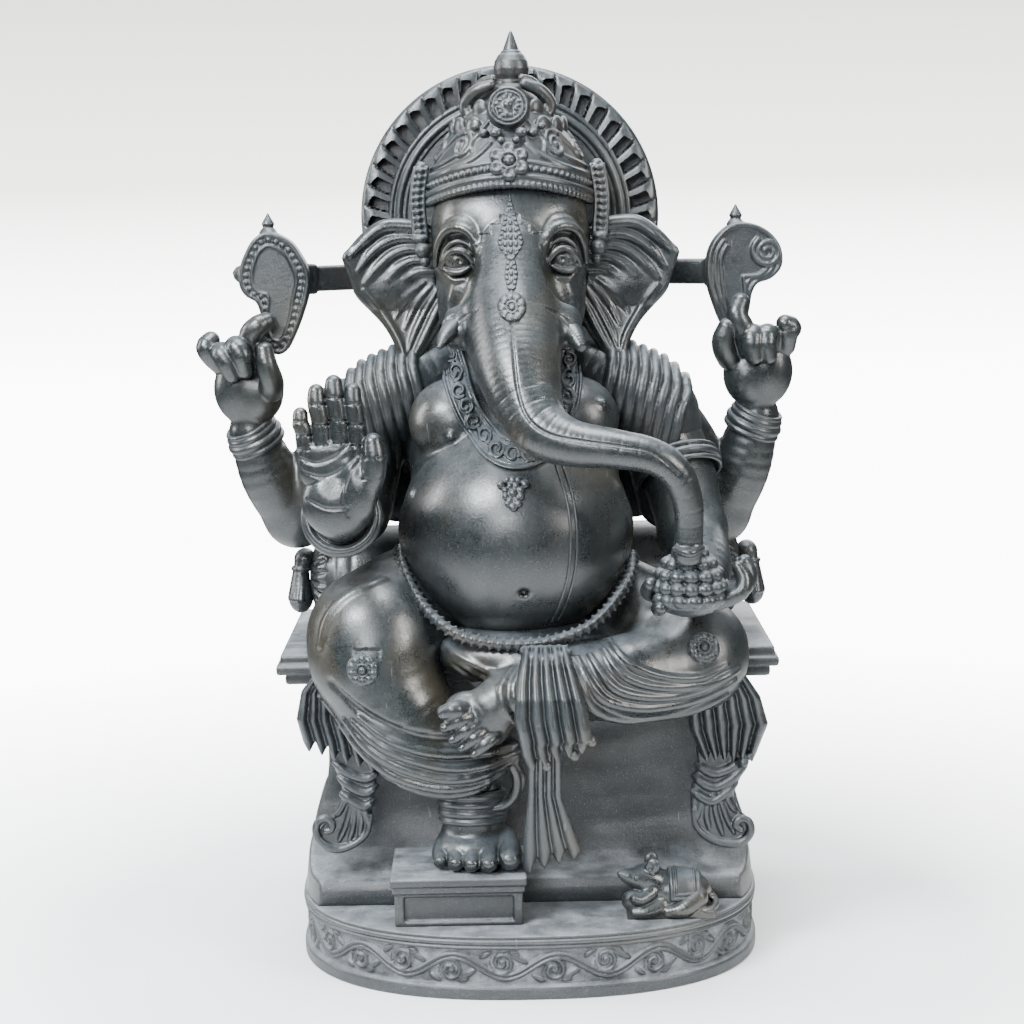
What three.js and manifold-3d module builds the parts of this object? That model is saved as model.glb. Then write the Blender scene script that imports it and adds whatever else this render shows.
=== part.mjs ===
// Seated elephant-headed idol on a plinth, built from separate carved sections.
// Millimetres, +Z up, -Y towards the viewer, +X towards the figure's own left side.
// The origin is the centre of the plinth's underside.
import * as THREE from 'three';
import { mergeVertices } from 'three/addons/utils/BufferGeometryUtils.js';
import Module from 'manifold-3d';

const wasm = await Module();
wasm.setup();

// ---- driving dimensions ------------------------------------------------------
const TOTAL_HEIGHT = 905;      // plinth underside to finial tip
const PLINTH_HEIGHT = 62;
const PLINTH_HALF_WIDTH = 228;
const PLINTH_HALF_DEPTH = 200;
const PLINTH_CORNER = 2.4;     // superellipse exponent of the plinth's plan
const BASE_SHIFT = 7;          // how far the base's centre sits to the left of the figure's axis
const STEP_HEIGHT = 86;
const SEAT_UNDER = 274;
const SEAT_TOP = 305;
const SEAT_HALF_WIDTH = 247;
const SEAT_FRONT = -60;
const SEAT_BACK = 200;
const STOOL_TOP = 110;
const STOOL_FRONT = -172;
const STOOL_CENTRE_X = -61;
const STOOL_HALF_WIDTH = 65;
const BOLSTER_RADIUS = 52;
const BOLSTER_Y = 95;
const BOLSTER_X = 10;           // the bolster lies a little to the figure's left
const BOLSTER_REACH = 225;      // from its middle to each end
const HALO_RADIUS = 149;
const HALO_CENTRE = new THREE.Vector3(0, 62, 727);
const HALO_THICKNESS = 24;
const DOWEL_RADIUS = 6;
const GAP = 0.35;              // clearance kept between neighbouring sections

// ---- solids ------------------------------------------------------------------
// Shared corners are merged on the plain shape, and `place` then moves each of them to its final position.
function solidOf(geometry, place = (corner) => corner) {
  const bare = geometry.clone();
  bare.deleteAttribute('normal');
  bare.deleteAttribute('uv');
  const merged = mergeVertices(bare, 1e-4);
  const corners = [];
  for (let i = 0; i < merged.index.count; i += 3) {
    const [a, b, c] = [0, 1, 2].map((k) => merged.index.getX(i + k));
    if (a !== b && b !== c && c !== a) corners.push(a, b, c);
  }
  const position = merged.attributes.position;
  const vertices = [];
  for (let i = 0; i < position.count; i += 1) {
    vertices.push(...place(new THREE.Vector3().fromBufferAttribute(position, i)).toArray());
  }
  const build = (triVerts) => new wasm.Manifold(new wasm.Mesh({
    numProp: 3,
    vertProperties: Float32Array.from(vertices),
    triVerts: Uint32Array.from(triVerts),
  }));
  const solid = build(corners);
  return solid.volume() < 0 ? build(corners.reverse()) : solid;
}

// Every shape below is a function of `grow`, so a neighbour can be cut by a slightly larger copy.
const ball = (centre, radii, turn = [0, 0, 0], sides = 12, rings = 8) => (grow) => {
  const [rx, ry, rz] = Array.isArray(radii) ? radii : [radii, radii, radii];
  const rotation = new THREE.Euler(...turn);
  const middle = new THREE.Vector3(...centre);
  const geometry = new THREE.SphereGeometry(1, sides, rings);
  geometry.rotateX(Math.PI / 2);
  return solidOf(geometry, (corner) => corner
    .multiply(new THREE.Vector3(rx + grow, ry + grow, rz + grow)).applyEuler(rotation).add(middle));
};

// A tapered limb along a smooth curve; radii follow the curve's points. `flat` squeezes it along `face`.
const limb = (points, radii, { sides = 10, steps = 8, flat = 1, face = [0, -1, 0] } = {}) => (grow) => {
  const curve = new THREE.CatmullRomCurve3(points.map((p) => new THREE.Vector3(...p)), false, 'centripetal');
  const facing = new THREE.Vector3(...face);
  const last = radii.length - 1;
  return solidOf(new THREE.CylinderGeometry(1, 1, 1, sides, steps), (corner) => {
    const t = THREE.MathUtils.clamp(corner.y + 0.5, 0, 1);
    const k = Math.min(Math.floor(t * last), last - 1);
    const plain = THREE.MathUtils.lerp(radii[k], radii[k + 1], t * last - k);
    const tangent = curve.getTangent(t);
    const across = new THREE.Vector3().crossVectors(facing, tangent).normalize();
    const outward = new THREE.Vector3().crossVectors(tangent, across);
    const beyond = t === 0 || t === 1 ? grow * Math.sign(t - 0.5) : 0;
    return curve.getPoint(t).addScaledVector(tangent, beyond)
      .addScaledVector(across, corner.x * (plain + grow))
      .addScaledVector(outward, corner.z * (plain * flat + grow));
  });
};

const box = (low, high) => (grow) => {
  const size = high.map((value, i) => value - low[i] + 2 * grow);
  const geometry = new THREE.BoxGeometry(...size);
  geometry.translate(...high.map((value, i) => (value + low[i]) / 2));
  return solidOf(geometry);
};

// Moves each corner of a closed outline outwards by `grow`.
function offsetOutline(points, grow) {
  const turn = Math.sign(THREE.ShapeUtils.area(points));
  return points.map((point, i) => {
    const before = points[(i + points.length - 1) % points.length];
    const after = points[(i + 1) % points.length];
    const along = new THREE.Vector2().subVectors(after, before).normalize();
    return new THREE.Vector2(point.x + along.y * grow * turn, point.y - along.x * grow * turn);
  });
}

// An outline in the XZ plane, `thickness` deep and centred on `place`.
const plate = (outline, thickness, place) => (grow) => {
  const shape = new THREE.Shape(offsetOutline(outline, grow));
  const depth = thickness + 2 * grow;
  const geometry = new THREE.ExtrudeGeometry(shape, { depth, bevelEnabled: false });
  geometry.translate(0, 0, -depth / 2);
  geometry.rotateX(Math.PI / 2);
  geometry.translate(...place);
  return solidOf(geometry);
};

// A smooth closed outline through hand-placed points.
function smoothOutline(points, count) {
  const curve = new THREE.SplineCurve([...points, points[0]].map((p) => new THREE.Vector2(...p)));
  return curve.getSpacedPoints(count).slice(0, count);
}

const turned = (profile, place, { axis = 'z', sides = 20 } = {}) => (grow) => {
  const low = profile[0][1];
  const high = profile[profile.length - 1][1];
  const points = profile.map(([radius, along]) => new THREE.Vector2(
    radius === 0 ? 0 : radius + grow,
    along + (along === low ? -grow : 0) + (along === high ? grow : 0),
  ));
  const geometry = new THREE.LatheGeometry(points, sides);
  if (axis === 'z') geometry.rotateX(Math.PI / 2);
  if (axis === 'x') geometry.rotateZ(-Math.PI / 2);
  return solidOf(geometry, (corner) => corner.add(new THREE.Vector3(...place)));
};

// A superellipse column whose half-width and half-depth change linearly from bottom to top.
const roundedColumn = (bottom, top, zLow, zHigh, centre, sides = 40) => (grow) => {
  const geometry = new THREE.CylinderGeometry(1, 1, 1, sides, 1);
  geometry.rotateX(Math.PI / 2);
  return solidOf(geometry, ({ x, y, z }) => {
    const angle = Math.atan2(y, x);
    const bulge = Math.abs(Math.cos(angle)) ** PLINTH_CORNER + Math.abs(Math.sin(angle)) ** PLINTH_CORNER;
    const radius = Math.hypot(x, y) * bulge ** (-1 / PLINTH_CORNER);
    const size = z > 0 ? top : bottom;
    return new THREE.Vector3(
      centre[0] + Math.cos(angle) * radius * (size[0] + grow),
      centre[1] + Math.sin(angle) * radius * (size[1] + grow),
      z > 0 ? zHigh + grow : zLow - grow,
    );
  });
};

const join = (...shapes) => (grow) => shapes.map((shape) => shape(grow)).reduce((a, b) => a.add(b));

// ---- materials ---------------------------------------------------------------
const stone = new THREE.MeshStandardMaterial({ color: 0x2b3133, roughness: 0.42, metalness: 0.0 });
const baseStone = new THREE.MeshStandardMaterial({ color: 0x343b3d, roughness: 0.6, metalness: 0.0 });
const dustyStone = new THREE.MeshStandardMaterial({ color: 0x3d4447, roughness: 0.55, metalness: 0.0 });
const steel = new THREE.MeshStandardMaterial({ color: 0x9a9ca0, roughness: 0.4, metalness: 1.0 });

// ---- base --------------------------------------------------------------------
const plinth = () => {
  const ledge = 13;
  const rim = 12;
  const inset = 5;
  const size = (cut) => [PLINTH_HALF_WIDTH - cut, PLINTH_HALF_DEPTH - cut];
  const centre = [BASE_SHIFT, 0];
  return join(
    roundedColumn(size(0), size(0), 0, ledge, centre),
    roundedColumn(size(inset), size(inset), ledge - 1, PLINTH_HEIGHT - rim + 1, centre),
    roundedColumn(size(1), size(1), PLINTH_HEIGHT - rim, PLINTH_HEIGHT, centre),
  );
};

const pedestal = () => (grow) => {
  const profile = new THREE.Shape();
  const stepFront = -114;
  const wallFront = -28;
  profile.moveTo(stepFront, PLINTH_HEIGHT + GAP);
  profile.lineTo(stepFront, STEP_HEIGHT);
  profile.lineTo(-62, STEP_HEIGHT + 4);
  profile.quadraticCurveTo(wallFront - 6, STEP_HEIGHT + 8, wallFront, STEP_HEIGHT + 52);
  profile.lineTo(wallFront, SEAT_UNDER - GAP);
  profile.lineTo(190, SEAT_UNDER - GAP);
  profile.lineTo(190, PLINTH_HEIGHT + GAP);
  const outline = offsetOutline(profile.getPoints(5), grow);
  const width = 2 * PLINTH_HALF_WIDTH + 20;
  const geometry = new THREE.ExtrudeGeometry(new THREE.Shape(outline), { depth: width, bevelEnabled: false });
  geometry.rotateX(Math.PI / 2);
  geometry.rotateZ(Math.PI / 2);
  geometry.translate(BASE_SHIFT - width / 2, 0, 0);
  const block = solidOf(geometry);
  const waist = 190;
  const plan = join(
    roundedColumn([224, 192], [214, 186], PLINTH_HEIGHT - 5, 130, [BASE_SHIFT, 0]),
    roundedColumn([214, 186], [198, 182], 130, waist, [BASE_SHIFT, 0]),
    roundedColumn([198, 182], [198, 182], waist - 1, SEAT_UNDER + 5, [BASE_SHIFT, 0]),
  );
  return block.intersect(plan(grow));
};

const seatSlab = () => {
  const moulding = (inset, low, high) => box(
    [BASE_SHIFT + 2 - SEAT_HALF_WIDTH + inset, SEAT_FRONT + inset, low],
    [BASE_SHIFT + 2 + SEAT_HALF_WIDTH - inset, SEAT_BACK - inset, high],
  );
  return join(moulding(7, SEAT_UNDER, 284), moulding(0, 283, 296), moulding(4, 295, SEAT_TOP));
};

const stoolTop = () => box(
  [STOOL_CENTRE_X - STOOL_HALF_WIDTH, STOOL_FRONT, STOOL_TOP - 15],
  [STOOL_CENTRE_X + STOOL_HALF_WIDTH, -60, STOOL_TOP],
);
const stoolBody = () => box(
  [STOOL_CENTRE_X - STOOL_HALF_WIDTH + 4, STOOL_FRONT + 7, PLINTH_HEIGHT + GAP],
  [STOOL_CENTRE_X + STOOL_HALF_WIDTH - 4, -75, STOOL_TOP - 15 - GAP],
);

const bolster = () => turned(
  [[0, -BOLSTER_REACH], [24, -BOLSTER_REACH], [42, -216], [BOLSTER_RADIUS, -196], [BOLSTER_RADIUS, 196],
    [42, 216], [24, BOLSTER_REACH], [0, BOLSTER_REACH]],
  [BOLSTER_X, BOLSTER_Y, SEAT_TOP + BOLSTER_RADIUS + GAP], { axis: 'x', sides: 20 },
);
const bolsterTassel = (side) => {
  const x = BOLSTER_X + side * (BOLSTER_REACH + 7);
  return join(
    ball([x, BOLSTER_Y - 4, 376], [9, 14, 13], [0, 0, 0], 10, 8),
    limb([[x, BOLSTER_Y - 6, 374], [x + side, BOLSTER_Y - 10, 338]],
      [8, 15], { sides: 8, steps: 2, flat: 0.7, face: [side, 0, 0] }),
  );
};

const mouse = () => join(
  ball([148, -134, 84], [34, 22, 21], [0, 0, 0.1], 12, 7),
  ball([116, -140, 98], [19, 13, 12], [0, 0, 0.35], 10, 6),
  ball([108, -146, 78], [14, 13, 14], [0, 0, 0], 8, 5),
  box([102, -156, PLINTH_HEIGHT + GAP], [180, -116, 69]),
);
const saddleCloth = () => (grow) => {
  const outer = ball([156, -134, 85], [21, 25, 24], [0, 0, 0.1], 12, 7)(grow);
  const slice = box([140, -170, 77], [172, -100, 115])(grow);
  return outer.intersect(slice);
};

// ---- body --------------------------------------------------------------------
const torso = () => join(
  ball([0, -84, 434], [112, 108, 97], [0, 0, 0], 20, 12),
  ball([0, -20, 500], [104, 88, 105], [0, 0, 0], 16, 10),
  limb([[-114, 8, 532], [0, 5, 584], [114, 8, 532]], [46, 52, 46], { sides: 10, steps: 3 }),
  ball([-52, -72, 520], [50, 46, 42], [0, 0, 0], 12, 7),
  ball([52, -72, 520], [50, 46, 42], [0, 0, 0], 12, 7),
  limb([[0, 20, 306], [0, 10, 420], [0, 5, 500]], [100, 96, 84], { sides: 16, steps: 2, flat: 0.78 }),
  limb([[0, -5, 560], [0, -20, 640]], [58, 50], { sides: 12, steps: 1 }),
);

const head = () => join(
  ball([0, -38, 690], [78, 82, 82], [0, 0, 0], 16, 10),
  ball([-33, -58, 722], [44, 52, 40], [0, 0, 0], 10, 6),
  ball([33, -58, 722], [44, 52, 40], [0, 0, 0], 10, 6),
  limb([[0, -70, 700], [0, -95, 655], [0, -105, 610]], [66, 58, 40], { sides: 12, steps: 2 }),
  ball([-40, -85, 640], [30, 38, 34], [0, 0, 0], 10, 6),
  ball([40, -85, 640], [30, 38, 34], [0, 0, 0], 10, 6),
);

const trunk = () => limb(
  [[0, -112, 668], [-1, -140, 630], [3, -170, 585], [16, -205, 543], [48, -226, 528], [88, -236, 523],
    [126, -238, 517], [148, -232, 497], [157, -222, 464], [156, -214, 424]],
  [46, 48, 35, 27, 21, 18, 16, 15, 13.5, 14], { sides: 10, steps: 18 },
);
const tusk = (side) => {
  const reach = side < 0 ? [[-50, -128, 628], [-62, -150, 620], [-69, -168, 612]]
    : [[50, -128, 620], [58, -144, 607], [64, -154, 598]];
  return limb(reach, [12, 9, 4], { sides: 8, steps: 2 });
};

const ear = (side) => {
  const outline = smoothOutline([[58, 704], [92, 722], [126, 724], [150, 706], [159, 684], [146, 652],
    [122, 624], [108, 598], [99, 578], [86, 596], [72, 622], [56, 650]], 20);
  const placed = outline.map((p) => new THREE.Vector2(side * p.x, p.y));
  return plate(placed, 20, [0, -34, 0]);
};

const CROWN_TOP = 850;
const crown = () => turned(
  [[0, 736], [76, 736], [82, 748], [80, 766], [73, 782], [61, 803], [50, 818], [46, 834], [26, 845],
    [20, CROWN_TOP], [0, CROWN_TOP]],
  [0, -32, 0], { sides: 20 },
);
const finial = () => {
  const foot = CROWN_TOP + GAP;
  return turned(
    [[0, foot], [17, foot], [13, 857], [16.5, 866], [16.5, 874], [12, 882], [7, 887], [5, 893], [0, TOTAL_HEIGHT]],
    [4, -28, 0], { sides: 10 },
  );
};
const crownRosette = () => turned(
  [[0, -5], [18, -5], [18, 3], [8, 6], [0, 6]], [0, -116, 778], { axis: 'y', sides: 12 },
);
const foreheadOrnament = () => {
  const half = [[9, 722], [14, 704], [6, 690], [3, 664]];
  const mirrored = half.map(([x, z]) => [-x, z]).reverse();
  const outline = [[0, 742], ...half, ...mirrored];
  return plate(outline.map((p) => new THREE.Vector2(...p)), 8, [0, -126, 0]);
};
const beadString = (side) => limb(
  [[side * 86, -40, 760], [side * 88, -46, 715], [side * 78, -58, 672]], [10, 10, 8], { sides: 6, steps: 3 },
);

const halo = () => {
  const rays = 28;
  const ringOutline = Array.from({ length: rays * 2 }, (_, i) => {
    const angle = (i / (rays * 2)) * Math.PI * 2;
    const radius = HALO_RADIUS - (i % 2 === 0 ? 4 : 0);
    return new THREE.Vector2(Math.sin(angle) * radius, Math.cos(angle) * radius);
  });
  return plate(ringOutline, HALO_THICKNESS, HALO_CENTRE.toArray());
};
const haloRing = () => (grow) => {
  const disc = (radius, front, back) => turned(
    [[0, front], [radius, front], [radius, back], [0, back]], HALO_CENTRE.toArray(), { axis: 'y', sides: 28 },
  );
  return disc(120, -16, -10)(grow).subtract(disc(108, -30, 5)(-grow));
};
const strut = (side) => limb(
  [[side * 140, 60, 669], [side * 168, 48, 669], [side * 214, 18, 668]], [14, 13, 13], { sides: 8, steps: 3 },
);

// ---- arms --------------------------------------------------------------------
const rearArm = (side) => {
  const right = side < 0;
  const elbow = right ? [-222, 48, 428] : [206, 46, 424];
  const wrist = right ? [-264, 14, 528] : [246, 18, 540];
  const palm = right ? [-262, 6, 566] : [243, 8, 574];
  const knuckles = right
    ? [[-284, 0, 594], [-268, -4, 604], [-252, -4, 604], [-238, -2, 596]]
    : [[216, -2, 604], [232, -4, 610], [249, -4, 610], [266, 0, 606]];
  const fingers = knuckles.map(([x, y, z]) => limb(
    [[x, y + 10, z - 18], [x, y - 4, z], [x + 1, y - 16, z - 14]], [9, 9, 8], { sides: 6, steps: 3 },
  ));
  return join(
    limb([[side * 138, 18, 562], [side * 176, 34, 500], elbow], [40, 37, 31], { sides: 10, steps: 3 }),
    ball(elbow, 31, [0, 0, 0], 10, 7),
    limb([elbow, [(elbow[0] + wrist[0]) / 2, 30, (elbow[2] + wrist[2]) / 2], wrist, palm], [31, 30, 24, 16],
      { sides: 10, steps: 3 }),
    ball(palm, [33, 18, 34], [0, 0, 0], 10, 7),
    ...fingers,
  );
};
const rearBracelet = (side) => {
  const centre = side < 0 ? [-258, 18, 514] : [240, 22, 526];
  const lean = side < 0 ? [-0.34, -0.1, 0.93] : [0.34, -0.1, 0.93];
  const half = 9;
  const ends = [-half, half].map((reach) => centre.map((value, i) => value + lean[i] * reach));
  return limb(ends, [31, 31], { sides: 12, steps: 1 });
};
const emblem = (side) => {
  const outline = side < 0
    ? [[-236, 719], [-254, 708], [-262, 692], [-275, 680], [-270, 662], [-254, 650], [-244, 626],
      [-246, 606], [-232, 594], [-216, 612], [-203, 640], [-197, 666], [-206, 694], [-220, 712]]
    : [[222, 718], [202, 704], [192, 680], [196, 644], [208, 616], [220, 604], [230, 624], [238, 652],
      [252, 668], [266, 680], [262, 700], [246, 715]];
  const tip = side < 0 ? [-236, 8, 716] : [222, 8, 716];
  return join(
    plate(smoothOutline(outline, 20), 26, [0, 10, 0]),
    limb([tip, [tip[0], tip[1], 734]], [9, 2], { sides: 8, steps: 2 }),
  );
};

const raisedArm = () => {
  const knuckles = 541;
  const fingers = [[-194, 564], [-180, 585], [-163, 592], [-146, 585]].map(([x, top], i) => limb(
    [[-188 + i * 15.5, -185, knuckles - 32], [x, -190, (knuckles + top) / 2], [x, -192, top]],
    [9, 8.5, 7.4], { sides: 6, steps: 2 },
  ));
  return join(
    limb([[-126, 4, 540], [-150, -10, 494], [-158, -44, 450]], [42, 40, 34], { sides: 10, steps: 3 }),
    ball([-158, -48, 446], 34, [0, 0, 0], 10, 7),
    limb([[-158, -50, 446], [-162, -118, 446], [-162, -180, 462]], [33, 30, 25],
      { sides: 10, steps: 3, face: [1, 0, 0] }),
    ball([-160, -184, 488], [38, 16, 50], [0, 0, 0], 12, 8),
    ...fingers,
    limb([[-134, -188, 490], [-128, -193, 512], [-127, -194, 534]], [12, 11, 9], { sides: 6, steps: 2 }),
  );
};
const wristRing = () => limb(
  [[-161, -154, 452], [-161, -166, 456]], [35, 36], { sides: 14, steps: 1, face: [1, 0, 0] },
);

const bowlArm = () => join(
  limb([[128, 0, 556], [158, -14, 490], [172, -52, 424]], [44, 40, 34], { sides: 10, steps: 3 }),
  ball([172, -56, 420], 34, [0, 0, 0], 10, 7),
  limb([[172, -60, 416], [174, -110, 400], [170, -150, 388]], [33, 29, 24],
    { sides: 10, steps: 2, face: [1, 0, 0] }),
  ball([170, -168, 376], [34, 32, 15], [0, 0, 0], 12, 6),
  limb([[192, -176, 380], [204, -186, 400], [202, -190, 420]], [10, 9, 7], { sides: 6, steps: 2 }),
);
const armlet = () => limb([[157, -12, 500], [160, -16, 484]], [45, 44], { sides: 14, steps: 1 });
const sweetsBowl = () => join(
  turned([[0, 366], [22, 366], [30, 374], [30, 380], [0, 380]], [158, -196, 0], { sides: 14 }),
  ball([158, -196, 398], [33, 30, 28], [0, 0, 0], 12, 8),
);

// ---- legs --------------------------------------------------------------------
const toes = () => [[-82, -134, 123, 8], [-68, -144, 123, 9], [-52, -148, 123, 9], [-36, -150, 123, 9.5],
  [-16, -148, 124, 12]].map(([x, y, z, r]) => ball([x, y, z], [r, 14, r + 1], [0, 0, 0], 8, 5));

const hangingLeg = () => join(
  limb([[-62, -10, 362], [-100, -60, 350], [-136, -104, 332]], [56, 62, 64], { sides: 12, steps: 3 }),
  ball([-140, -112, 328], [62, 60, 64], [0, 0, 0], 14, 9),
  limb([[-138, -122, 302], [-100, -130, 246], [-54, -122, 196]], [56, 48, 30], { sides: 10, steps: 3 }),
  limb([[-54, -122, 196], [-47, -116, 170], [-46, -120, 136]], [29, 27, 30], { sides: 10, steps: 2 }),
  ball([-46, -128, 128], [40, 34, 16.5], [0, 0, 0], 12, 6),
  ...toes(),
);
const anklet = () => limb([[-47, -117, 184], [-46, -116, 166]], [34, 35], { sides: 12, steps: 1 });

const foldedLeg = () => join(
  limb([[62, -10, 356], [120, -60, 330], [172, -100, 312]], [54, 54, 50], { sides: 12, steps: 2 }),
  ball([176, -104, 308], [46, 48, 46], [0, 0, 0], 12, 8),
  limb([[176, -110, 300], [90, -150, 292], [10, -172, 288], [-24, -176, 282]], [44, 40, 30, 24],
    { sides: 10, steps: 4 }),
  ball([-42, -180, 262], [32, 18, 28], [0, 0.5, 0], 10, 6),
  ball([4, -104, 316], [86, 64, 32], [0, 0, 0], 12, 7),
);
const kneeRosette = (side) => turned(
  [[0, -4], [17, -4], [17, 2], [8, 5], [0, 5]],
  side < 0 ? [-146, -174, 312] : [176, -158, 322], { axis: 'y', sides: 12 },
);

// ---- cloth and jewellery carved on the body --------------------------------------
const necklace = () => limb(
  [[-72, -70, 610], [-60, -120, 560], [-36, -138, 520], [-4, -146, 503], [30, -140, 520], [56, -122, 560],
    [68, -70, 610]],
  [9, 11, 13, 14, 13, 11, 9], { sides: 6, steps: 14, flat: 0.6, face: [0, -1, 0.3] },
);
const pendant = () => plate(
  [[0, 492], [15, 484], [13, 470], [0, 458], [-13, 470], [-15, 484]].map((p) => new THREE.Vector2(...p)),
  12, [-2, -166, 0],
);
const sacredThread = () => limb(
  [[34, -160, 500], [50, -174, 470], [50, -172, 430], [44, -156, 385], [34, -128, 352]], [5, 5, 5, 5, 5],
  { sides: 5, steps: 8 },
);
const waistBelt = () => limb(
  [[-112, -80, 412], [-94, -132, 372], [-56, -158, 340], [0, -168, 330], [56, -158, 340], [92, -132, 368],
    [112, -80, 402]],
  [8, 9, 9, 9, 9, 9, 8], { sides: 6, steps: 14 },
);
const centreSash = () => join(
  limb([[24, -182, 326], [22, -200, 280], [24, -190, 226]], [26, 28, 18], { sides: 8, steps: 4, flat: 0.45 }),
  limb([[24, -192, 244], [24, -172, 180], [32, -156, 110]], [16, 14, 25], { sides: 8, steps: 5, flat: 0.45 }),
  limb([[26, -186, 300], [44, -180, 260], [58, -166, 236]], [15, 13, 9], { sides: 8, steps: 3, flat: 0.5 }),
);
const sideDrape = (side) => {
  const path = side < 0
    ? [[-196, -70, 300], [-200, -58, 246], [-178, -64, 196], [-166, -74, 158], [-176, -76, 130]]
    : [[216, -70, 292], [222, -56, 240], [206, -62, 196], [196, -72, 158], [204, -74, 130]];
  return limb(path, [24, 30, 26, 26, 20], { sides: 8, steps: 7, flat: 0.6 });
};
const shoulderShawl = (side) => limb(
  [[side * 78, -30, 580], [side * 112, -24, 560], [side * 142, -8, 530], [side * 150, 0, 440]],
  [26, 40, 42, 30], { sides: 10, steps: 5 },
);

// ---- hidden dowels ---------------------------------------------------------------
const dowel = (low, high) => limb(
  [low, high], [DOWEL_RADIUS, DOWEL_RADIUS], { sides: 10, steps: 1, face: [0.6, 0.48, 0.64] },
);

// ---- assembly ----------------------------------------------------------------------
// Listed from the piece that keeps its full shape to the piece that is cut away around it.
const sections = [
  ['neck_dowel', dowel([0, 0, 608], [0, 0, 668]), steel],
  ['halo_dowel', dowel([0, 40, 640], [0, 72, 640]), steel],
  ['plinth_dowel_right', dowel([-110, 90, 40], [-110, 90, 100]), steel],
  ['plinth_dowel_left', dowel([124, 90, 40], [124, 90, 100]), steel],
  ['seat_dowel_right', dowel([-110, 90, 252], [-110, 90, 292]), steel],
  ['seat_dowel_left', dowel([124, 90, 252], [124, 90, 292]), steel],
  ['forehead_ornament', foreheadOrnament(), dustyStone],
  ['crown_rosette', crownRosette(), dustyStone],
  ['knee_rosette_right', kneeRosette(-1), dustyStone],
  ['knee_rosette_left', kneeRosette(1), dustyStone],
  ['pendant', pendant(), dustyStone],
  ['sacred_thread', sacredThread(), dustyStone],
  ['tusk_right', tusk(-1), stone],
  ['tusk_left', tusk(1), stone],
  ['trunk', trunk(), stone],
  ['bead_string_right', beadString(-1), dustyStone],
  ['bead_string_left', beadString(1), dustyStone],
  ['crown', crown(), dustyStone],
  ['finial', finial(), dustyStone],
  ['necklace', necklace(), dustyStone],
  ['waist_belt', waistBelt(), dustyStone],
  ['emblem_right', emblem(-1), dustyStone],
  ['emblem_left', emblem(1), dustyStone],
  ['sweets_bowl', sweetsBowl(), dustyStone],
  ['raised_arm', raisedArm(), stone],
  ['bowl_arm', bowlArm(), stone],
  ['wrist_ring', wristRing(), dustyStone],
  ['armlet', armlet(), dustyStone],
  ['centre_sash', centreSash(), dustyStone],
  ['folded_leg', foldedLeg(), stone],
  ['hanging_leg', hangingLeg(), stone],
  ['anklet', anklet(), dustyStone],
  ['shoulder_shawl_right', shoulderShawl(-1), dustyStone],
  ['shoulder_shawl_left', shoulderShawl(1), dustyStone],
  ['rear_arm_right', rearArm(-1), stone],
  ['rear_arm_left', rearArm(1), stone],
  ['rear_bracelet_right', rearBracelet(-1), dustyStone],
  ['rear_bracelet_left', rearBracelet(1), dustyStone],
  ['side_drape_right', sideDrape(-1), dustyStone],
  ['side_drape_left', sideDrape(1), dustyStone],
  ['ear_right', ear(-1), stone],
  ['ear_left', ear(1), stone],
  ['head', head(), stone],
  ['torso', torso(), stone],
  ['halo_ring', haloRing(), dustyStone],
  ['strut_right', strut(-1), stone],
  ['strut_left', strut(1), stone],
  ['halo', halo(), dustyStone],
  ['bolster_tassel_right', bolsterTassel(-1), dustyStone],
  ['bolster_tassel_left', bolsterTassel(1), dustyStone],
  ['bolster', bolster(), stone],
  ['seat_slab', seatSlab(), baseStone],
  ['saddle_cloth', saddleCloth(), dustyStone],
  ['mouse', mouse(), stone],
  ['footstool_top', stoolTop(), baseStone],
  ['footstool_body', stoolBody(), baseStone],
  ['pedestal', pedestal(), baseStone],
  ['plinth', plinth(), baseStone],
];

function boxesMeet(a, b) {
  return [0, 1, 2].every((i) => a.min[i] <= b.max[i] && b.min[i] <= a.max[i]);
}

function largestBody(solid) {
  const bodies = solid.decompose().sort((a, b) => b.volume() - a.volume());
  return bodies[0];
}

function meshOf(solid, name, material) {
  const raw = solid.getMesh();
  const geometry = new THREE.BufferGeometry();
  geometry.setAttribute('position', new THREE.BufferAttribute(Float32Array.from(raw.vertProperties), 3));
  geometry.setIndex(new THREE.BufferAttribute(Uint32Array.from(raw.triVerts), 1));
  geometry.computeVertexNormals();
  const mesh = new THREE.Mesh(geometry, material);
  mesh.name = name;
  return mesh;
}

const figure = new THREE.Group();
figure.position.x = -BASE_SHIFT;
const cutters = [];
for (const [name, shape, material] of sections) {
  let solid = shape(0);
  for (const cutter of cutters) {
    if (boxesMeet(solid.boundingBox(), cutter.boundingBox())) solid = solid.subtract(cutter);
  }
  figure.add(meshOf(largestBody(solid), name, material));
  cutters.push(shape(GAP));
}

const group = new THREE.Group();
group.name = 'idol';
group.add(figure);

export default group;
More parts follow.
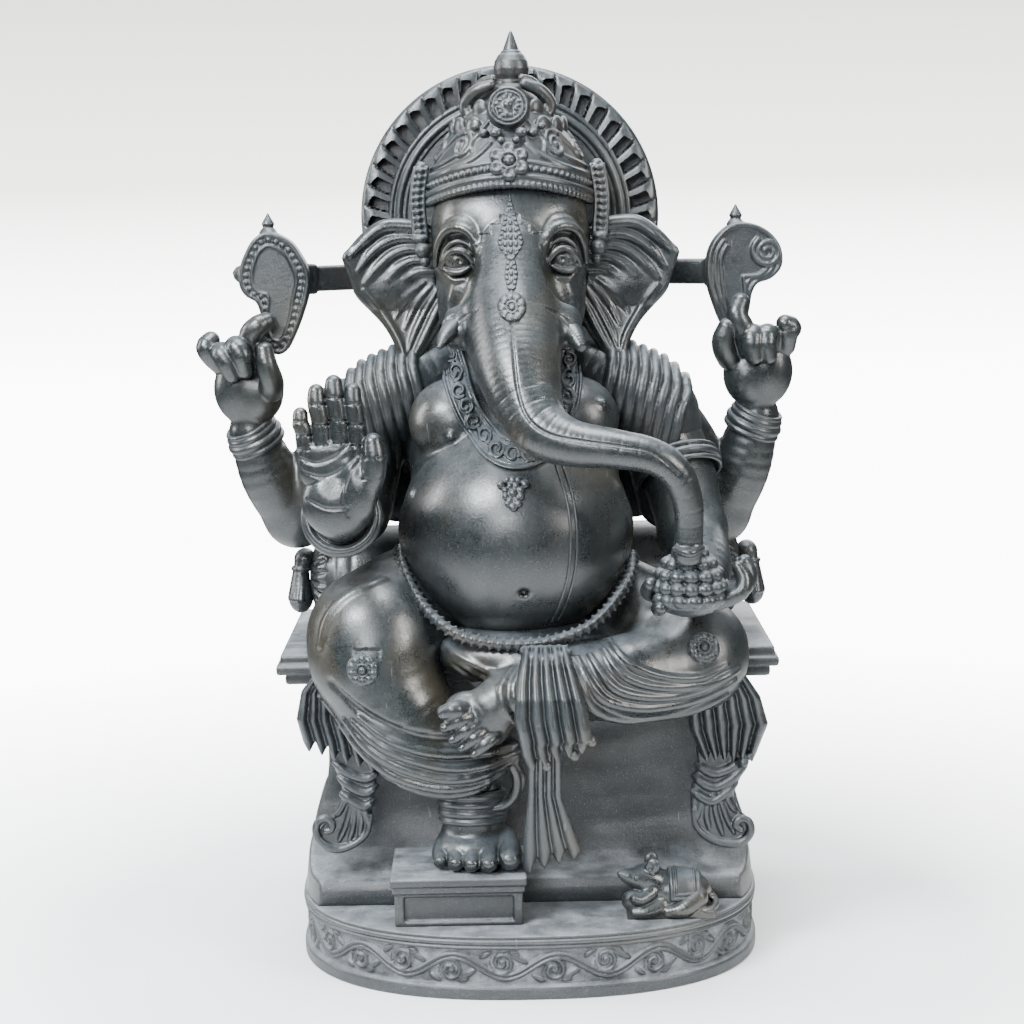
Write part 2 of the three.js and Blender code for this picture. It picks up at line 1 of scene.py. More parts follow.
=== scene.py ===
import math
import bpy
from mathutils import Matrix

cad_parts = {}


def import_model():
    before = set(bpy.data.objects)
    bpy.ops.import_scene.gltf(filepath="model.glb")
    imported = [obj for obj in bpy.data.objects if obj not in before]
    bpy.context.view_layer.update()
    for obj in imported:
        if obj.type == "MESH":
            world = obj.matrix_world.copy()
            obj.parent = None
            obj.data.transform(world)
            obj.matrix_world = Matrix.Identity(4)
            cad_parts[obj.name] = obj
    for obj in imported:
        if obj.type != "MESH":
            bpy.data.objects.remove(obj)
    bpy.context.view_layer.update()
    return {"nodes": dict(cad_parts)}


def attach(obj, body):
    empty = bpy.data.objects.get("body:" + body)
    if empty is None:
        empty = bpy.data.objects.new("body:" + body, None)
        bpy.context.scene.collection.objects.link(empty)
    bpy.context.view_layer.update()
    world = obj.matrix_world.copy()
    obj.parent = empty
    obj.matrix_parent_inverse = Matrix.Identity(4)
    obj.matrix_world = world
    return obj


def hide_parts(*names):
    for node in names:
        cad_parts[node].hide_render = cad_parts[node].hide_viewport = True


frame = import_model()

from concurrent.futures import ThreadPoolExecutor

import bpy
import numpy as np
from mathutils import Matrix, Vector

# Everything below is in millimetres in the figure's own frame: x = 0 is its axis and it faces -y.
# Pieces are moved by BASE_SHIFT and scaled to metres when their meshes are made.
BASE_SHIFT = 7.0
MM = 0.001
FAR = 40.0          # distance given to points that no shape comes near
REACH = 4.0         # how far past its box a shape is still measured
BLOCK = 8           # voxels along the side of one block of sample points
COARSE = 1.0


# ---- sample points -------------------------------------------------------------------------------
class Points:
    """Sample points sorted into blocks, so that a shape is measured only in blocks it comes near."""

    def __init__(self, p, low, high, start, count):
        self.p, self.low, self.high, self.start, self.count = p, low, high, start, count

    @classmethod
    def single(cls, p):
        p = np.asarray(p, np.float32)
        return cls(p, p, p, np.arange(len(p)), np.ones(len(p), int))

    def near(self, low, high):
        hit = np.all(self.low <= high, 1) & np.all(self.high >= low, 1)
        if hit.all():
            return None, self
        chosen = np.flatnonzero(hit)
        count = self.count[chosen]
        start = np.cumsum(count) - count
        index = np.arange(int(count.sum())) + np.repeat(self.start[chosen] - start, count)
        return index, Points(self.p[index], self.low[chosen], self.high[chosen], start, count)


# ---- shapes: each has a box and a distance, negative inside --------------------------------------
class Shape:
    def __init__(self, low, high, measure):
        self.low = np.asarray(low, np.float32)
        self.high = np.asarray(high, np.float32)
        self.measure = measure

    def widen(self, margin):
        """Plain shapes are exact at any distance."""

    def dist(self, points):
        return self.measure(points.p).astype(np.float32)


def smooth_min(a, b, k):
    """Smaller of two distances, with the corner between them rounded over k."""
    if k <= 0:
        return np.minimum(a, b)
    h = np.maximum(k - np.abs(a - b), 0)
    return np.minimum(a, b) - h * h * (0.25 / k)


class Blend:
    """Shapes joined, cut or raised one after another; each step has its own blending radius."""

    def __init__(self, first=()):
        self.steps = []
        self.margin = 0.0
        self.low = np.full(3, 1e9, np.float32)
        self.high = np.full(3, -1e9, np.float32)
        for shape in first:
            self.add(shape)

    def _grow(self, shape):
        self.low = np.minimum(self.low, shape.low)
        self.high = np.maximum(self.high, shape.high)

    def _step(self, kind, shape, k):
        shape.widen(k + REACH + self.margin)
        self.steps.append((kind, shape, k))
        return self

    def widen(self, margin):
        """Makes distances right this far outside, for a blend that this one is part of."""
        if margin > self.margin:
            self.margin = margin
            for _, shape, k in self.steps:
                shape.widen(k + REACH + margin)

    def add(self, shape, k=0.0):
        self._grow(shape)
        return self._step("add", shape, k)

    def cut(self, shape, k=0.0):
        return self._step("cut", shape, k)

    def keep(self, shape, k=0.0):
        return self._step("keep", shape, k)

    def relief(self, height, low, high):
        """Raises the surface by height(p) inside a box."""
        return self._step("raise", Shape(low, high, height), 0.0)

    def copy(self):
        other = Blend()
        other.steps = list(self.steps)
        other.margin = self.margin
        other.low, other.high = self.low.copy(), self.high.copy()
        return other

    def dist(self, points):
        d = np.full(len(points.p), FAR, np.float32)
        for kind, shape, k in self.steps:
            if kind == "keep":
                d = -smooth_min(-d, -shape.dist(points), k)
                continue
            reach = k + REACH + self.margin
            index, sub = points.near(shape.low - reach, shape.high + reach)
            if len(sub.p) == 0:
                continue
            value = shape.dist(sub)
            old = d if index is None else d[index]
            if kind == "add":
                new = smooth_min(old, value, k)
            elif kind == "cut":
                new = -smooth_min(-old, value, k)
            else:
                new = old - value
            if index is None:
                d = new
            else:
                d[index] = new
        return d


def euler(x=0.0, y=0.0, z=0.0):
    """Rotation matrix from degrees about x, then y, then z."""
    cx, sx, cy, sy, cz, sz = [f(math.radians(a)) for a in (x, y, z) for f in (math.cos, math.sin)]
    turn_x = np.array([[1, 0, 0], [0, cx, -sx], [0, sx, cx]])
    turn_y = np.array([[cy, 0, sy], [0, 1, 0], [-sy, 0, cy]])
    turn_z = np.array([[cz, -sz, 0], [sz, cz, 0], [0, 0, 1]])
    return turn_z @ turn_y @ turn_x


def egg(centre, radii, turn=(0, 0, 0)):
    """Ellipsoid."""
    c = np.array(centre, np.float32)
    r = np.array(radii if np.ndim(radii) else (radii,) * 3, np.float32)
    rotation = euler(*turn).astype(np.float32)
    reach = np.sqrt(((rotation * r) ** 2).sum(1))

    def measure(p):
        q = (p - c) @ rotation
        k0 = np.sqrt(((q / r) ** 2).sum(1))
        k1 = np.sqrt(((q / (r * r)) ** 2).sum(1))
        return k0 * (k0 - 1) / np.maximum(k1, 1e-5)

    return Shape(c - reach, c + reach, measure)


def block(centre, half, rounding=1.0, turn=(0, 0, 0)):
    """Box with rounded edges."""
    c = np.array(centre, np.float32)
    h = np.array(half, np.float32)
    rotation = euler(*turn).astype(np.float32)
    reach = np.abs(rotation) @ h

    def measure(p):
        q = np.abs((p - c) @ rotation) - (h - rounding)
        outside = np.sqrt((np.maximum(q, 0) ** 2).sum(1))
        return outside + np.minimum(q.max(1), 0) - rounding

    return Shape(c - reach, c + reach, measure)


def ring(centre, radius, thick, turn=(0, 0, 0)):
    """Torus about its own z axis."""
    c = np.array(centre, np.float32)
    rotation = euler(*turn).astype(np.float32)
    size = radius + thick

    def measure(p):
        q = (p - c) @ rotation
        across = np.sqrt(q[:, 0] ** 2 + q[:, 1] ** 2) - radius
        return np.sqrt(across ** 2 + q[:, 2] ** 2) - thick

    return Shape(c - size, c + size, measure)


def spline(points, count, closed=False):
    """Smooth curve through the points, evenly spaced; works on rows of any width."""
    p = np.asarray(points, float)
    if len(p) == 2 and not closed:
        t = np.linspace(0, 1, count)[:, None]
        return (p[0] * (1 - t) + p[1] * t).astype(np.float32)
    ends = (p[-1], p[0], p[1]) if closed else (2 * p[0] - p[1], 2 * p[-1] - p[-2])
    full = np.vstack([ends[0], p, ends[1], ends[2]]) if closed else np.vstack([ends[0], p, ends[1]])
    spans = len(full) - 3
    t = np.linspace(0, spans, 24 * spans + 1)
    i = np.minimum(t.astype(int), spans - 1)
    u = (t - i)[:, None]
    a, b, c, d = full[i], full[i + 1], full[i + 2], full[i + 3]
    bend, twist = 2 * a - 5 * b + 4 * c - d, 3 * b - a - 3 * c + d
    fine = 0.5 * (2 * b + (c - a) * u + bend * u ** 2 + twist * u ** 3)
    dims = min(3, fine.shape[1])
    length = np.concatenate([[0], np.cumsum(np.linalg.norm(np.diff(fine[:, :dims], axis=0), axis=1))])
    wanted = np.linspace(0, length[-1], count + (1 if closed else 0))
    out = np.stack([np.interp(wanted, length, fine[:, j]) for j in range(fine.shape[1])], 1)
    return out.astype(np.float32)


def mirror(points, side):
    """Points given for the figure's left (+x) side, mirrored when side is -1."""
    return [(side * p[0], *p[1:]) for p in points]


class Tube:
    """Chain of tapered rods through points with radii; flat < 1 squeezes it along `face`."""

    def __init__(self, points, radii, flat=1.0, face=(0, -1, 0)):
        self.points = np.asarray(points, np.float32)
        self.radii = np.broadcast_to(np.asarray(radii, np.float32), (len(self.points),)).copy()
        self.flat = flat
        self.face = np.asarray(face, np.float32) / np.linalg.norm(face)
        self.margin = REACH
        self.low = (self.points - self.radii[:, None]).min(0)
        self.high = (self.points + self.radii[:, None]).max(0)

    def widen(self, margin):
        self.margin = max(self.margin, margin)

    def dist(self, points):
        d = np.full(len(points.p), FAR, np.float32)
        for a, b, ra, rb in zip(self.points[:-1], self.points[1:], self.radii[:-1], self.radii[1:]):
            reach = max(ra, rb) + self.margin
            index, sub = points.near(np.minimum(a, b) - reach, np.maximum(a, b) + reach)
            if len(sub.p) == 0:
                continue
            along = b - a
            t = np.clip((sub.p - a) @ along / max(float(along @ along), 1e-6), 0, 1)
            offset = sub.p - a - t[:, None] * along
            radius = ra + (rb - ra) * t
            if self.flat == 1.0:
                value = np.sqrt((offset ** 2).sum(1)) - radius
            else:
                over = offset @ self.face
                side = np.maximum((offset ** 2).sum(1) - over ** 2, 0)
                k0 = np.sqrt(side / radius ** 2 + (over / (radius * self.flat)) ** 2)
                k1 = np.sqrt(side / radius ** 4 + (over / (radius * self.flat) ** 2) ** 2)
                value = k0 * (k0 - 1) / np.maximum(k1, 1e-5)
            if index is None:
                d = np.minimum(d, value)
            else:
                d[index] = np.minimum(d[index], value)
        return d


def tube(points, radii, step=None, flat=1.0, face=(0, -1, 0)):
    """Tube along a smooth curve through the points."""
    p = np.asarray(points, float)
    r = np.broadcast_to(np.asarray(radii, float), (len(p),))
    length = np.linalg.norm(np.diff(p, axis=0), axis=1).sum()
    count = max(4, int(length / (step or max(3.0, 0.5 * float(r.mean())))) + 1)
    rows = spline(np.column_stack([p, r]), count)
    return Tube(rows[:, :3], np.maximum(rows[:, 3], 0.3), flat, face)


def outline_distance(q, outline):
    """Signed distance in 2D to a closed outline."""
    a = np.asarray(outline, np.float32)
    b = np.roll(a, -1, 0)
    best = np.full(len(q), 1e9, np.float32)
    inside = np.zeros(len(q), bool)
    for (ax, ay), (bx, by) in zip(a, b):
        ex, ey = bx - ax, by - ay
        wx, wy = q[:, 0] - ax, q[:, 1] - ay
        t = np.clip((wx * ex + wy * ey) / max(ex * ex + ey * ey, 1e-9), 0, 1)
        best = np.minimum(best, (wx - ex * t) ** 2 + (wy - ey * t) ** 2)
        crosses = (ay > q[:, 1]) != (by > q[:, 1])
        if ay != by:
            inside ^= crosses & (q[:, 0] < ax + (q[:, 1] - ay) * ex / (by - ay))
    return np.where(inside, -1, 1) * np.sqrt(best)


def beside(q, path):
    """Distance along a path and signed distance to its side, for points in 2D."""
    best = np.full(len(q), 1e9, np.float32)
    way, side = np.zeros(len(q), np.float32), np.ones(len(q), np.float32)
    start = 0.0
    for (ax, ay), (bx, by) in zip(path[:-1], path[1:]):
        ex, ey = bx - ax, by - ay
        length = math.hypot(ex, ey)
        wx, wy = q[:, 0] - ax, q[:, 1] - ay
        t = np.clip((wx * ex + wy * ey) / length ** 2, 0, 1)
        square = (wx - ex * t) ** 2 + (wy - ey * t) ** 2
        nearer = square < best
        best = np.where(nearer, square, best)
        way = np.where(nearer, start + t * length, way)
        side = np.where(nearer, np.sign(ex * wy - ey * wx), side)
        start += length
    return way, side * np.sqrt(best)


def round_corner(d2, w, rounding):
    """Distance to the corner where a side and a face meet, with its edge rounded."""
    a, b = d2 + rounding, w + rounding
    outside = np.sqrt(np.maximum(a, 0) ** 2 + np.maximum(b, 0) ** 2)
    return outside + np.minimum(np.maximum(a, b), 0) - rounding


def slab(outline, middle, half, rounding=1.0, bend=None):
    """Outline in the xz plane, `half` thick each way about y = middle; bend(x, z) moves it along y."""
    o = np.asarray(outline, np.float32)
    shift = np.zeros(len(o)) if bend is None else bend(o[:, 0], o[:, 1])
    low = (o[:, 0].min(), middle - half + shift.min() - 7, o[:, 1].min())
    high = (o[:, 0].max(), middle + half + shift.max() + 7, o[:, 1].max())

    def measure(p):
        y = p[:, 1] - middle - (0 if bend is None else bend(p[:, 0], p[:, 2]))
        return round_corner(outline_distance(p[:, [0, 2]], o), np.abs(y) - half, rounding)

    return Shape(low, high, measure)


def turned(profile, centre, turn=(0, 0, 0)):
    """Solid of revolution; profile rows are (radius, height) from bottom to top along its own z axis."""
    c = np.array(centre, np.float32)
    rotation = euler(*turn).astype(np.float32)
    rows = np.asarray(profile, np.float32)
    outline = np.vstack([rows, rows[::-1] * np.array([-1, 1], np.float32)])
    size = np.abs(rotation) @ np.array([rows[:, 0].max(), rows[:, 0].max(), np.abs(rows[:, 1]).max()])

    def measure(p):
        q = (p - c) @ rotation
        return outline_distance(np.column_stack([np.hypot(q[:, 0], q[:, 1]), q[:, 2]]), outline)

    return Shape(c - size, c + size, measure)


class Below:
    """Half-space under a plane through `point`, whose normal points out of it."""

    def __init__(self, point, normal):
        self.point = np.array(point, np.float32)
        self.normal = np.array(normal, np.float32) / np.linalg.norm(normal)
        self.low, self.high = np.full(3, -1e4, np.float32), np.full(3, 1e4, np.float32)

    def widen(self, margin):
        """A plane is exact at any distance."""

    def dist(self, points):
        return (points.p - self.point) @ self.normal


class Veneer:
    """Thin layer lying on another shape: height(p) thick wherever window(p) is negative."""

    def __init__(self, form, low, high, height, window, depth=3.0):
        self.form, self.height, self.window, self.depth = form, height, window, depth
        self.low, self.high = np.array(low, np.float32), np.array(high, np.float32)

    def widen(self, margin):
        self.form.widen(margin)

    def dist(self, points):
        base = self.form.dist(points)
        p = points.p
        layer = np.maximum(base - self.height(p), -base - self.depth)
        return np.maximum(layer, self.window(p)).astype(np.float32)


def land(shape, starts, direction, steps=40):
    """Moves points along a direction until they meet the shape."""
    p = np.asarray(starts, np.float32).copy()
    way = np.broadcast_to(np.asarray(direction, np.float32), p.shape)
    way = way / np.linalg.norm(way, axis=1, keepdims=True)
    for _ in range(steps):
        p += way * np.clip(shape.dist(Points.single(p)), -8, 14)[:, None] * 0.9
    return p


def landed(shape, starts, direction):
    """Like land, but leaves out the points that never meet the shape."""
    found = land(shape, starts, direction)
    return found[np.abs(shape.dist(Points.single(found))) < 1.5]


def on_front(shape, xz, lift=0.0, y=-300.0):
    """Front-most points of a shape at the given (x, z), raised by lift."""
    xz = np.asarray(xz, np.float32)
    starts = np.column_stack([xz[:, 0], np.full(len(xz), y), xz[:, 1]])
    found = land(shape, starts, (0, 1, 0))
    if lift:
        found += normals_of(shape, found) * lift
    return found


def normals_of(shape, p, eps=0.6):
    """Directions straight out of a shape at the given points."""
    p = np.asarray(p, np.float32)
    corners = np.array([[1, -1, -1], [-1, -1, 1], [-1, 1, -1], [1, 1, 1]], np.float32)
    n = sum(k * shape.dist(Points.single(p + k * eps))[:, None] for k in corners)
    return n / np.maximum(np.linalg.norm(n, axis=1, keepdims=True), 1e-6)


def seat_at(shape, x, z):
    """Point on the front of a shape, the way out there, its tilt in degrees and the way up along it."""
    spot = on_front(shape, [(x, z)])[0]
    normal = normals_of(shape, [spot])[0]
    return spot, normal, math.degrees(math.asin(-normal[2])), np.array([0, normal[2], -normal[1]])


def ridge(shape, xz, radius, lift=0.0, step=4.0, taper=True, y=-300.0):
    """Tube drawn on the front of a shape through (x, z) points, where the shape is under them."""
    xz = np.asarray(xz, float)
    length = np.linalg.norm(np.diff(xz, axis=0), axis=1).sum()
    count = max(5, int(length / step))
    line = on_front(shape, spline(xz, count), 0.0, y)
    t = np.linspace(0, 1, count)
    width = np.broadcast_to(np.asarray(radius, float), (len(np.atleast_1d(radius)),))
    radii = np.interp(t, np.linspace(0, 1, len(width)), width)
    if taper:
        radii = radii * (0.35 + 0.65 * np.sqrt(np.clip(np.sin(np.pi * np.clip(t, 0.02, 0.98)) * 1.6, 0, 1)))
    met = np.abs(shape.dist(Points.single(line))) < 1.5
    if met.sum() < 2:
        raise ValueError("this line does not meet the shape")
    line, radii = line[met], radii[met]
    if lift:
        line = line + normals_of(shape, line) * lift
    return Tube(line, radii)


def beads(points, radius):
    """Row of small balls centred on the points."""
    group = Blend()
    radii = np.broadcast_to(radius, (len(points),))
    for p, r in zip(points, radii):
        group.add(egg(p, r))
    return group


def stamp(centre, normal, up, size, height):
    """Relief pressed onto a surface: height(u, v) in a round patch seen along the normal."""
    c = np.array(centre, np.float32)
    n = np.array(normal, np.float32) / np.linalg.norm(normal)
    v_axis = np.array(up, np.float32) - n * float(np.dot(up, n))
    v_axis /= np.linalg.norm(v_axis)
    u_axis = np.cross(v_axis, n)

    def measure(p):
        q = p - c
        u, v, w = q @ u_axis, q @ v_axis, q @ n
        inside = np.clip((size - np.hypot(u, v)) / 1.5, 0, 1)
        near = np.clip((size * 0.9 + 6 - np.abs(w)) / 4, 0, 1)
        return height(u, v) * (inside * near)

    return measure, c - size - 8, c + size + 8


def bump(x, width):
    """Round-topped bump of the given half-width."""
    return np.sqrt(np.clip(1 - (x / width) ** 2, 0, 1))


def rosette(size, petals=8, height=3.0):
    """Flower with a button in a ring, round petals and a rim."""
    def shape(u, v):
        r, angle = np.hypot(u, v), np.arctan2(v, u)
        turn = (angle / (2 * np.pi) * petals) % 1 - 0.5
        across = turn * 2 * np.pi / petals * size * 0.66
        petal = bump(np.hypot(across, r - size * 0.68), size * 0.27)
        button = bump(r, size * 0.24) * 1.1
        collar = bump(r - size * 0.36, size * 0.08) * 0.6
        disc = 0.35 * np.clip((size * 0.98 - r) / 1.2, 0, 1)
        return height * np.maximum(disc + 0.65 * petal, disc + np.maximum(button, collar) * 0.8)
    return shape


# ---- meshes --------------------------------------------------------------------------------------
CORNERS = np.array([(i, j, k) for i in (0, 1) for j in (0, 1) for k in (0, 1)])
EDGES = [(a, b) for a in range(8) for b in range(8) if a < b and np.abs(CORNERS[a] - CORNERS[b]).sum() == 1]


def sample_grid(shape, voxel):
    """Distances on a grid; blocks the surface cannot reach are filled with their centre's value."""
    low = shape.low - 2 * voxel
    size = BLOCK * voxel
    blocks = np.maximum(np.ceil((shape.high + 2 * voxel - low) / size).astype(int), 1)
    index = np.stack(np.meshgrid(*[np.arange(n) for n in blocks], indexing="ij"), -1).reshape(-1, 3)
    block_low = (low + index * size).astype(np.float32)
    block_high = block_low + size
    single = np.arange(len(index))
    middle = Points((block_low + block_high) / 2, block_low, block_high, single, np.ones(len(index), int))
    coarse = shape.dist(middle)
    grid = np.repeat(np.repeat(np.repeat(coarse.reshape(blocks), BLOCK, 0), BLOCK, 1), BLOCK, 2)
    chosen = np.flatnonzero(np.abs(coarse) < 1.35 * 0.87 * size + 1)
    steps = np.arange(BLOCK) * voxel
    inner = np.stack(np.meshgrid(steps, steps, steps, indexing="ij"), -1).reshape(-1, 3).astype(np.float32)
    view = grid.reshape(blocks[0], BLOCK, blocks[1], BLOCK, blocks[2], BLOCK).transpose(0, 2, 4, 1, 3, 5)
    per_block = BLOCK ** 3
    batch = 1500
    for s in range(0, len(chosen), batch):
        part = chosen[s:s + batch]
        p = (block_low[part][:, None, :] + inner[None]).reshape(-1, 3)
        count = np.full(len(part), per_block)
        values = shape.dist(Points(p, block_low[part], block_high[part],
                                   np.arange(len(part)) * per_block, count))
        i, j, k = index[part].T
        view[i, j, k] = values.reshape(-1, BLOCK, BLOCK, BLOCK)
    return grid, low


def in_blocks(p, voxel):
    """Points sorted by the block they lie in, and the order that sorts them."""
    cell = np.floor(p / (BLOCK * voxel)).astype(np.int64)
    cell -= cell.min(0)
    span = cell.max(0) + 1
    key = (cell[:, 0] * span[1] + cell[:, 1]) * span[2] + cell[:, 2]
    order = np.argsort(key, kind="stable")
    _, start, count = np.unique(key[order], return_index=True, return_counts=True)
    sorted_p = p[order]
    low = np.minimum.reduceat(sorted_p, start) - voxel
    high = np.maximum.reduceat(sorted_p, start) + voxel
    return order, low, high, start, count


def surface(shape, voxel):
    """Quads of the shape's surface by surface nets, with the corners moved onto the exact surface."""
    grid, low = sample_grid(shape, voxel)
    inside = grid < 0
    cells = np.zeros(tuple(n - 1 for n in grid.shape), np.uint8)
    for di, dj, dk in CORNERS:
        cells += inside[di:di + cells.shape[0], dj:dj + cells.shape[1], dk:dk + cells.shape[2]]
    ijk = np.argwhere((cells > 0) & (cells < 8))
    values = np.stack([grid[tuple((ijk + c).T)] for c in CORNERS], 1)
    total = np.zeros((len(ijk), 3), np.float32)
    hits = np.zeros(len(ijk), np.float32)
    for a, b in EDGES:
        va, vb = values[:, a], values[:, b]
        crossing = (va < 0) != (vb < 0)
        t = np.where(crossing, va / np.where(crossing, va - vb, 1), 0)
        total += crossing[:, None] * (CORNERS[a] + t[:, None] * (CORNERS[b] - CORNERS[a]))
        hits += crossing
    p = (low + voxel * (ijk + total / hits[:, None])).astype(np.float32)

    lookup = np.full(cells.shape, -1, np.int32)
    lookup[tuple(ijk.T)] = np.arange(len(ijk))
    quads = []
    for axis in range(3):
        u, v = (axis + 1) % 3, (axis + 2) % 3
        first = np.take(inside, range(grid.shape[axis] - 1), axis)
        second = np.take(inside, range(1, grid.shape[axis]), axis)
        at = np.argwhere(first != second)
        at = at[(at[:, u] > 0) & (at[:, v] > 0) & (at[:, u] < cells.shape[u]) & (at[:, v] < cells.shape[v])]
        rising = first[tuple(at.T)]
        step_u, step_v = np.eye(3, dtype=int)[u], np.eye(3, dtype=int)[v]
        around = [lookup[tuple((at - s).T)] for s in (step_u + step_v, step_v, 0 * step_u, step_u)]
        loop = np.stack(around, 1)
        loop[~rising] = loop[~rising][:, ::-1]
        quads.append(loop)
    quads = np.vstack(quads)
    quads = quads[(quads >= 0).all(1)]

    order, block_low, block_high, start, count = in_blocks(p, voxel)
    q = p[order]
    corners = np.array([[1, -1, -1], [-1, -1, 1], [-1, 1, -1], [1, 1, 1]], np.float32)
    eps = 0.35 * voxel
    for _ in range(2):
        n, level = np.zeros_like(q), 0
        for k in corners:
            value = shape.dist(Points(q + k * eps, block_low, block_high, start, count))
            n += k * value[:, None]
            level = level + value / 4
        slope = np.linalg.norm(n, axis=1) / (4 * eps)
        n /= np.maximum(np.linalg.norm(n, axis=1, keepdims=True), 1e-6)
        move = np.clip(-level / np.maximum(slope, 0.5), -0.7 * voxel, 0.7 * voxel)
        q = q + n * move[:, None]
    # The hollow measured 2.5 mm out feeds the dust; the one measured 8 mm out is painted shade, darkening the
    # colour in deep recesses.
    hollow = []
    for reach in (2.5, 8.0):
        ahead = shape.dist(Points(q + n * reach, block_low - reach, block_high + reach, start, count))
        hollow.append(np.clip(1 - ahead / reach, 0, 1))
    # Convex edges, marked for wear and for painted highlight.
    behind = shape.dist(Points(q - n * 2.0, block_low - 2, block_high + 2, start, count))
    edge = np.clip(1 + behind / 2.0, 0, 1)
    out = np.empty_like(q)
    out[order] = q
    marks = []
    for value in (*hollow, edge):
        back = np.empty(len(q), np.float32)
        back[order] = value
        marks.append(back)
    return out, quads, marks


def to_object(name, p, quads, marks):
    """Blender mesh from corners and quads, smooth shaded, with its marks for dust, painted shade, and edge
    wear with painted highlight as attributes.
    """
    mesh = bpy.data.meshes.new(name)
    mesh.vertices.add(len(p))
    placed = (p + np.array([-BASE_SHIFT, 0, 0], np.float32)) * MM
    mesh.vertices.foreach_set("co", placed.astype(np.float32).ravel())
    mesh.loops.add(quads.size)
    mesh.loops.foreach_set("vertex_index", quads.astype(np.int32).ravel())
    mesh.polygons.add(len(quads))
    mesh.polygons.foreach_set("loop_start", np.arange(0, quads.size, quads.shape[1], dtype=np.int32))
    mesh.update(calc_edges=True)
    mesh.polygons.foreach_set("use_smooth", np.ones(len(quads), bool))
    for label, values in zip(("hollow_fine", "painted_shade_hollow", "edge_wear_and_highlight"), marks):
        mesh.attributes.new(label, "FLOAT", "POINT").data.foreach_set("value", values)
    mesh.validate()
    piece = bpy.data.objects.new(name, mesh)
    bpy.context.scene.collection.objects.link(piece)
    return piece


# ---- head, trunk, tusks, ears --------------------------------------------------------------------
TRUNK_LINE = [(0, -98, 690), (-1, -118, 650), (1, -142, 618), (5, -168, 590), (12, -190, 562),
              (24, -208, 540), (50, -224, 528), (88, -234, 523), (122, -237, 516), (143, -234, 501),
              (154, -227, 476), (156, -220, 450), (155, -216, 424)]
TRUNK_RADII = [36, 43, 44, 39, 32, 27, 21.5, 18, 16.2, 15.4, 14, 13, 13.6]


def skull():
    """Domed head without its features."""
    body = Blend([egg((0, -32, 696), (76, 78, 84))])
    for side in (-1, 1):
        body.add(egg((side * 30, -60, 728), (40, 44, 34)), 24)
        body.add(egg((side * 40, -66, 652), (30, 40, 46), (0, side * -10, 0)), 18)
    return body


def trunk_core():
    """Plain trunk, hanging down and then curling to the bowl."""
    return tube(TRUNK_LINE, TRUNK_RADII, step=6)


def muzzle():
    """Broad ridge that runs from the forehead into the trunk, with the root of a tusk at each side."""
    body = skull()
    body.add(tube([(0, -66, 742), (0, -88, 706), (0, -100, 676), (0, -112, 642)], [34, 33, 36, 42],
                  step=5), 22)
    body.add(trunk_core(), 12)
    for side in (-1, 1):
        body.add(tube([(side * 34, -98, 656), (side * 44, -118, 636), (side * 50, -130, 622)],
                      [24, 20, 15], step=4), 12)
    return body


def face():
    """Head and trunk as one skin; the two pieces are its parts, so no seam shows between them."""
    skin = muzzle()
    for side in (-1, 1):
        skin.cut(egg((side * 51, -124, 690), (17, 24, 23), (0, side * 12, side * 14)), 9)
        cheek = mirror([(46, -126, 680), (48, -122, 662), (54, -112, 644)], side)
        skin.cut(tube(cheek, [9, 9, 5], step=4), 16)
        brow = mirror([(28, -113, 684), (30, -113, 700), (38, -111, 714), (50, -106, 719), (62, -98, 714),
                       (69, -90, 700), (71, -86, 684)], side)
        skin.add(tube(brow, [2.5, 4, 4.6, 4.8, 4.6, 4, 2.5], step=4), 5)
        outer_brow = mirror([(30, -110, 712), (42, -106, 724), (56, -99, 724), (68, -88, 712)], side)
        skin.add(tube(outer_brow, [1.5, 3, 3, 1.5], step=4), 5)
        skin.add(egg((side * 49, -99, 689), (14.5, 12.5, 12.0), (0, side * -14, 0)), 2.5)
        upper = [(65, -99, 682), (61, -105, 691), (53, -110.5, 697.5), (43, -113, 696.5), (35, -112, 687)]
        lower = [(64, -99, 682), (57, -106, 678), (48, -109.5, 677.5), (39, -110, 682)]
        fold = [(66, -99, 688), (60, -104, 700), (51, -107, 706), (41, -109, 704), (34, -111, 696)]
        skin.add(tube(mirror(upper, side), [2.4, 3.2, 3.4, 3.2, 2.4], step=3), 1.2)
        skin.add(tube(mirror(lower, side), [2.0, 2.8, 2.8, 2.2], step=3), 1.2)
        skin.add(tube(mirror(fold, side), [1.4, 2.2, 2.6, 2.2, 1.6], step=3), 1.5)
        pouch = mirror([(62, -100, 676), (54, -106, 670), (44, -108, 671)], side)
        skin.add(tube(pouch, [1.5, 2.2, 1.5], step=3), 3)
        skin.cut(ring((side * 48, -110, 688), 6.2, 0.9, (90, 0, side * 12)), 0.8)
        skin.cut(egg((side * 48, -112.5, 688), (2.4, 3, 2.4)), 0.8)
        for shift in (0, 5, 10):
            wrinkle = [(32 + shift * 0.6, 645 - shift * 0.2), (42 + shift, 638 - shift * 0.6),
                       (52 + shift * 0.8, 630 - shift)]
            line = mirror(wrinkle, side)
            skin.cut(ridge(muzzle(), line, 0.9, step=4), 1.6)
    return skin


SEAM_POINT, SEAM_WAY = np.array((0, -120, 634), np.float32), np.array((0, -0.352, -0.936), np.float32)


class Upper:
    """Head's side of the seam; past it the skin sinks a little, so the trunk's edge lies over it."""

    def __init__(self, skin):
        self.skin = skin
        self.low, self.high = skin.low, skin.high

    def dist(self, points):
        past = (points.p - SEAM_POINT) @ SEAM_WAY
        return np.maximum(self.skin.dist(points) + 0.05 * np.maximum(past, 0), past - 9)


def head():
    """Head with its eyes, brows and cheek lines, down to the seam with the trunk."""
    return Upper(face())


